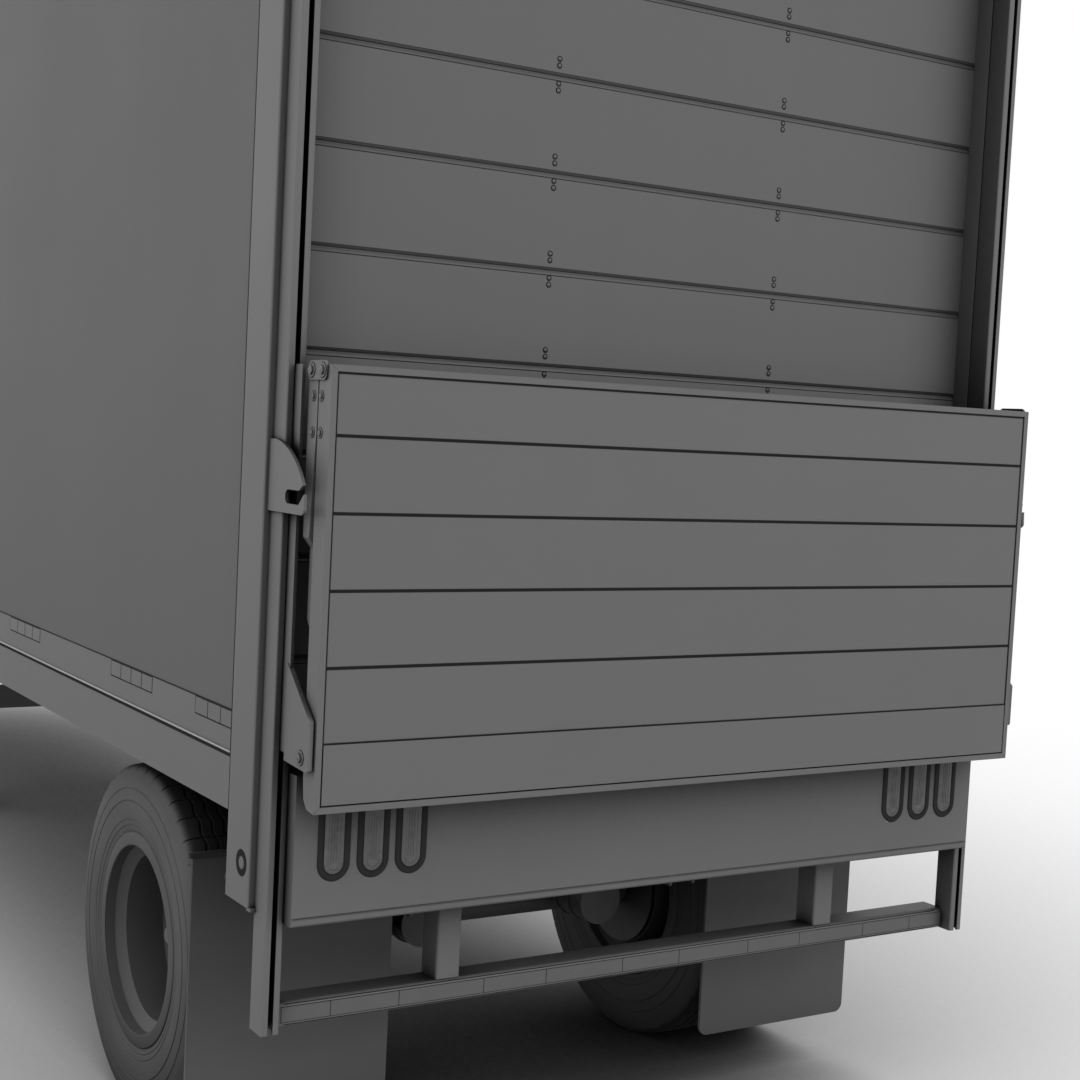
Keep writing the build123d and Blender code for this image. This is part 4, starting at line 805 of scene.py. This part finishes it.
# ---------------------------------------------------------------- header lamps
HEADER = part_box("rear_header")
HEADER_Y, HEADER_Z = HEADER[0].y, (HEADER[0].z + HEADER[1].z) / 2
HEADER_LAMPS_X = (-1.05, -0.16, 0, 0.16, 1.05)
lamp_base = Mesh("header_lamp_bases", "seal_rubber", slot="flap_rubber", smooth=35)
lamp_glass = Mesh("header_lamp_lenses", "lamp_lens", smooth=35)
for x in HEADER_LAMPS_X:
    lamp_base.block((x - 0.034, HEADER_Y - 0.006, HEADER_Z - 0.017),
                    (x + 0.034, HEADER_Y + 0.001, HEADER_Z + 0.017), 0.003)
    lamp_glass.block((x - 0.029, HEADER_Y - 0.016, HEADER_Z - 0.012),
                     (x + 0.029, HEADER_Y - 0.004, HEADER_Z + 0.012), 0.005)
lamp_base.done()
lamp_glass.done()

# ---------------------------------------------------------------- flaps and undercarriage
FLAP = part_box("mud_flaps")
FLAP_BOLTS_X = (0.63, 0.76, 0.89, 1.02, 1.14)
STRIP_WIDTH = 0.622
HANGER_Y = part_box("flap_hangers")[0].y
flap_bolts = Mesh("flap_bolts", "bolt_zinc", slot="fittings", smooth=30)
for x in FLAP_BOLTS_X:
    flap_bolts.hexagon((x, HANGER_Y, FLAP[1].z - 0.030), "y", -1, 0.013, 0.006, 0.2)
flap_bolts.done(both=True)
strip = Mesh("flap_top_strips", "seal_rubber", slot="flap_rubber", smooth=0)
strip.block((FLAP[1].x - STRIP_WIDTH, FLAP[0].y - 0.0050, FLAP[1].z - 0.008),
            (FLAP[1].x + 0.010, FLAP[1].y - 0.0005, FLAP[1].z + 0.004), 0.001)
strip.done(both=True)

SPRING_X = 0.470
SPRING_TOP = AXLE_Z + 0.156             # top of the plate over the leaves
SEAT_LOW, SEAT_HIGH = AXLE_Z - 0.0775, AXLE_Z - 0.0645
U_BOLT_X, U_BOLT_Y = 0.0445, 0.052
u_bolts = Mesh("axle_u_bolts", "bolt_zinc", slot="bare_steel", smooth=40)
for middle in (-SPRING_X, SPRING_X):
    for x in (middle - U_BOLT_X, middle + U_BOLT_X):
        for y in (AXLE_Y - U_BOLT_Y, AXLE_Y + U_BOLT_Y):
            u_bolts.tube([(x, y, AXLE_Z - 0.075), (x, y, SPRING_TOP + 0.022)], 0.009, 10)
            u_bolts.hexagon((x, y, SPRING_TOP + 0.001), "z", 1, 0.026, 0.016, 0.3)
    u_bolts.block((middle - 0.060, AXLE_Y - 0.070, SEAT_LOW),
                  (middle + 0.060, AXLE_Y + 0.070, SEAT_HIGH), 0.003)
u_bolts.done()

EYE_Y, EYE_Z = 0.495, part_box("spring_hangers")[0].z + 0.024     # the eyes of the springs
HANGER_HALF = 0.050
hanger_bolts = Mesh("hanger_bolts", "bolt_zinc", slot="fittings", smooth=30)
for y in (AXLE_Y - EYE_Y, AXLE_Y + EYE_Y):
    for way in (-1, 1):
        hanger_bolts.hexagon((SPRING_X + way * HANGER_HALF, y, EYE_Z), "x", way, 0.024, 0.014, 0.2)
hanger_bolts.done(both=True)

# ---------------------------------------------------------------- landing gear
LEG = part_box("landing_legs")
LEG_X, LEG_Y = 0.610, (LEG[0].y + LEG[1].y) / 2
leg_bolts = Mesh("landing_gear_bolts", "bolt_zinc", slot="fittings", smooth=30)
for y in (-0.120, -0.040, 0.040, 0.120):
    for x in (LEG_X - 0.0925, LEG_X + 0.0925):
        leg_bolts.hexagon((x, LEG_Y + y, LEG[1].z - 0.0125), "z", -1, 0.019, 0.010, 0.4)
leg_bolts.done(both=True)

# ---------------------------------------------------------------- front wall
NOSE_Z, NOSE_HALF = 1.5, 0.11           # the nose connectors, which the rivets keep clear of
front_rivets = Mesh("front_wall_rivets", "bolt_zinc", slot="fittings", smooth=40)
rows = [1.30 + 0.10 * i for i in range(27)]
short_rows = [z for z in rows if abs(z - NOSE_Z) > NOSE_HALF]


def rivet(x, z):
    front_rivets.dome((x, FRONT, z), "y", 1, 0.0055, 0.0028, 8)


for x, heights in ((0.305, short_rows), (0.915, rows)):
    for z in heights:
        rivet(x, z)
front_rivets.mirror()
for z in short_rows:
    rivet(0, z)
front_rivets.done()

# ---------------------------------------------------------------- camera, light and floor
YAW, PITCH, ROLL = math.radians(32.309), math.radians(3.612), math.radians(2.876)
EYE = (-2.9087, RAIL_Y - 3.871, 2.1025)
LENS_MM = 57.95
scene = bpy.context.scene
scene.view_settings.view_transform = "Standard"


def look():
    """The camera, at the photograph's angle."""
    ahead = Vector((math.sin(YAW) * math.cos(PITCH), math.cos(YAW) * math.cos(PITCH),
                    -math.sin(PITCH)))
    level = Vector((math.cos(YAW), -math.sin(YAW), 0))
    up = level.cross(ahead)
    right = level * math.cos(ROLL) + up * math.sin(ROLL)
    over = up * math.cos(ROLL) - level * math.sin(ROLL)
    data = bpy.data.cameras.new("camera")
    data.lens = LENS_MM
    data.sensor_width = 36.0
    data.clip_start = 0.1
    data.clip_end = 200.0
    camera = bpy.data.objects.new("camera", data)
    spin = Matrix((right, over, -ahead)).transposed()
    camera.matrix_world = Matrix.Translation(EYE) @ spin.to_4x4()
    scene.collection.objects.link(camera)
    scene.camera = camera


def sky():
    """An even white light, which the camera sees as white."""
    world = bpy.data.worlds.new("studio")
    scene.world = world
    world.use_nodes = True
    tree = world.node_tree
    tree.nodes.clear()
    out = tree.nodes.new("ShaderNodeOutputWorld")
    back = tree.nodes.new("ShaderNodeBackground")
    path = tree.nodes.new("ShaderNodeLightPath")
    strength = tree.nodes.new("ShaderNodeMix")
    strength.data_type = "FLOAT"
    strength.inputs[2].default_value = 1.15     # on the trailer
    strength.inputs[3].default_value = 1.0      # to the camera
    tree.links.new(path.outputs["Is Camera Ray"], strength.inputs[0])
    tree.links.new(strength.outputs[0], back.inputs["Strength"])
    back.inputs["Color"].default_value = (1, 1, 1, 1)
    tree.links.new(back.outputs[0], out.inputs[0])


def floor():
    """White to the camera but for the trailer's shadow, grey to the trailer, clear from below."""
    material = bpy.data.materials.new("studio_floor")
    material.use_nodes = True
    tree = material.node_tree
    tree.nodes.clear()

    def either(factor, one, two):
        node = tree.nodes.new("ShaderNodeMixShader")
        for socket, output in enumerate((factor, one.outputs[0], two.outputs[0])):
            tree.links.new(output, node.inputs[socket])
        return node

    out = tree.nodes.new("ShaderNodeOutputMaterial")
    matte = tree.nodes.new("ShaderNodeBsdfDiffuse")
    matte.inputs["Color"].default_value = (0.35, 0.35, 0.35, 1)
    # Painted shadow: to the camera the floor glows as bright as its ambient occlusion lets it,
    # which paints the trailer's shadow on it.
    shade = tree.nodes.new("ShaderNodeAmbientOcclusion")
    shade.samples = 32
    shade.inputs["Distance"].default_value = 9.0
    lift = reckon(tree, "MULTIPLY", shade.outputs["AO"], 1.08, clamp=True)
    glow = tree.nodes.new("ShaderNodeEmission")
    tree.links.new(reckon(tree, "POWER", lift, 2.2), glow.inputs["Color"])
    path = tree.nodes.new("ShaderNodeLightPath")
    sides = tree.nodes.new("ShaderNodeNewGeometry")
    clear = tree.nodes.new("ShaderNodeBsdfTransparent")
    seen = either(path.outputs["Is Camera Ray"], matte, glow)
    whole = either(sides.outputs["Backfacing"], seen, clear)
    tree.links.new(whole.outputs[0], out.inputs[0])
    data = bpy.data.meshes.new("studio_floor")
    reach = 60.0
    corners = [(-reach, -reach, 0), (reach, -reach, 0), (reach, reach, 0), (-reach, reach, 0)]
    data.from_pydata(corners, [], [(0, 1, 2, 3)])
    data.materials.append(material)
    plane = bpy.data.objects.new("studio_floor", data)
    plane.location.z = -0.002
    scene.collection.objects.link(plane)


look()
sky()
floor()
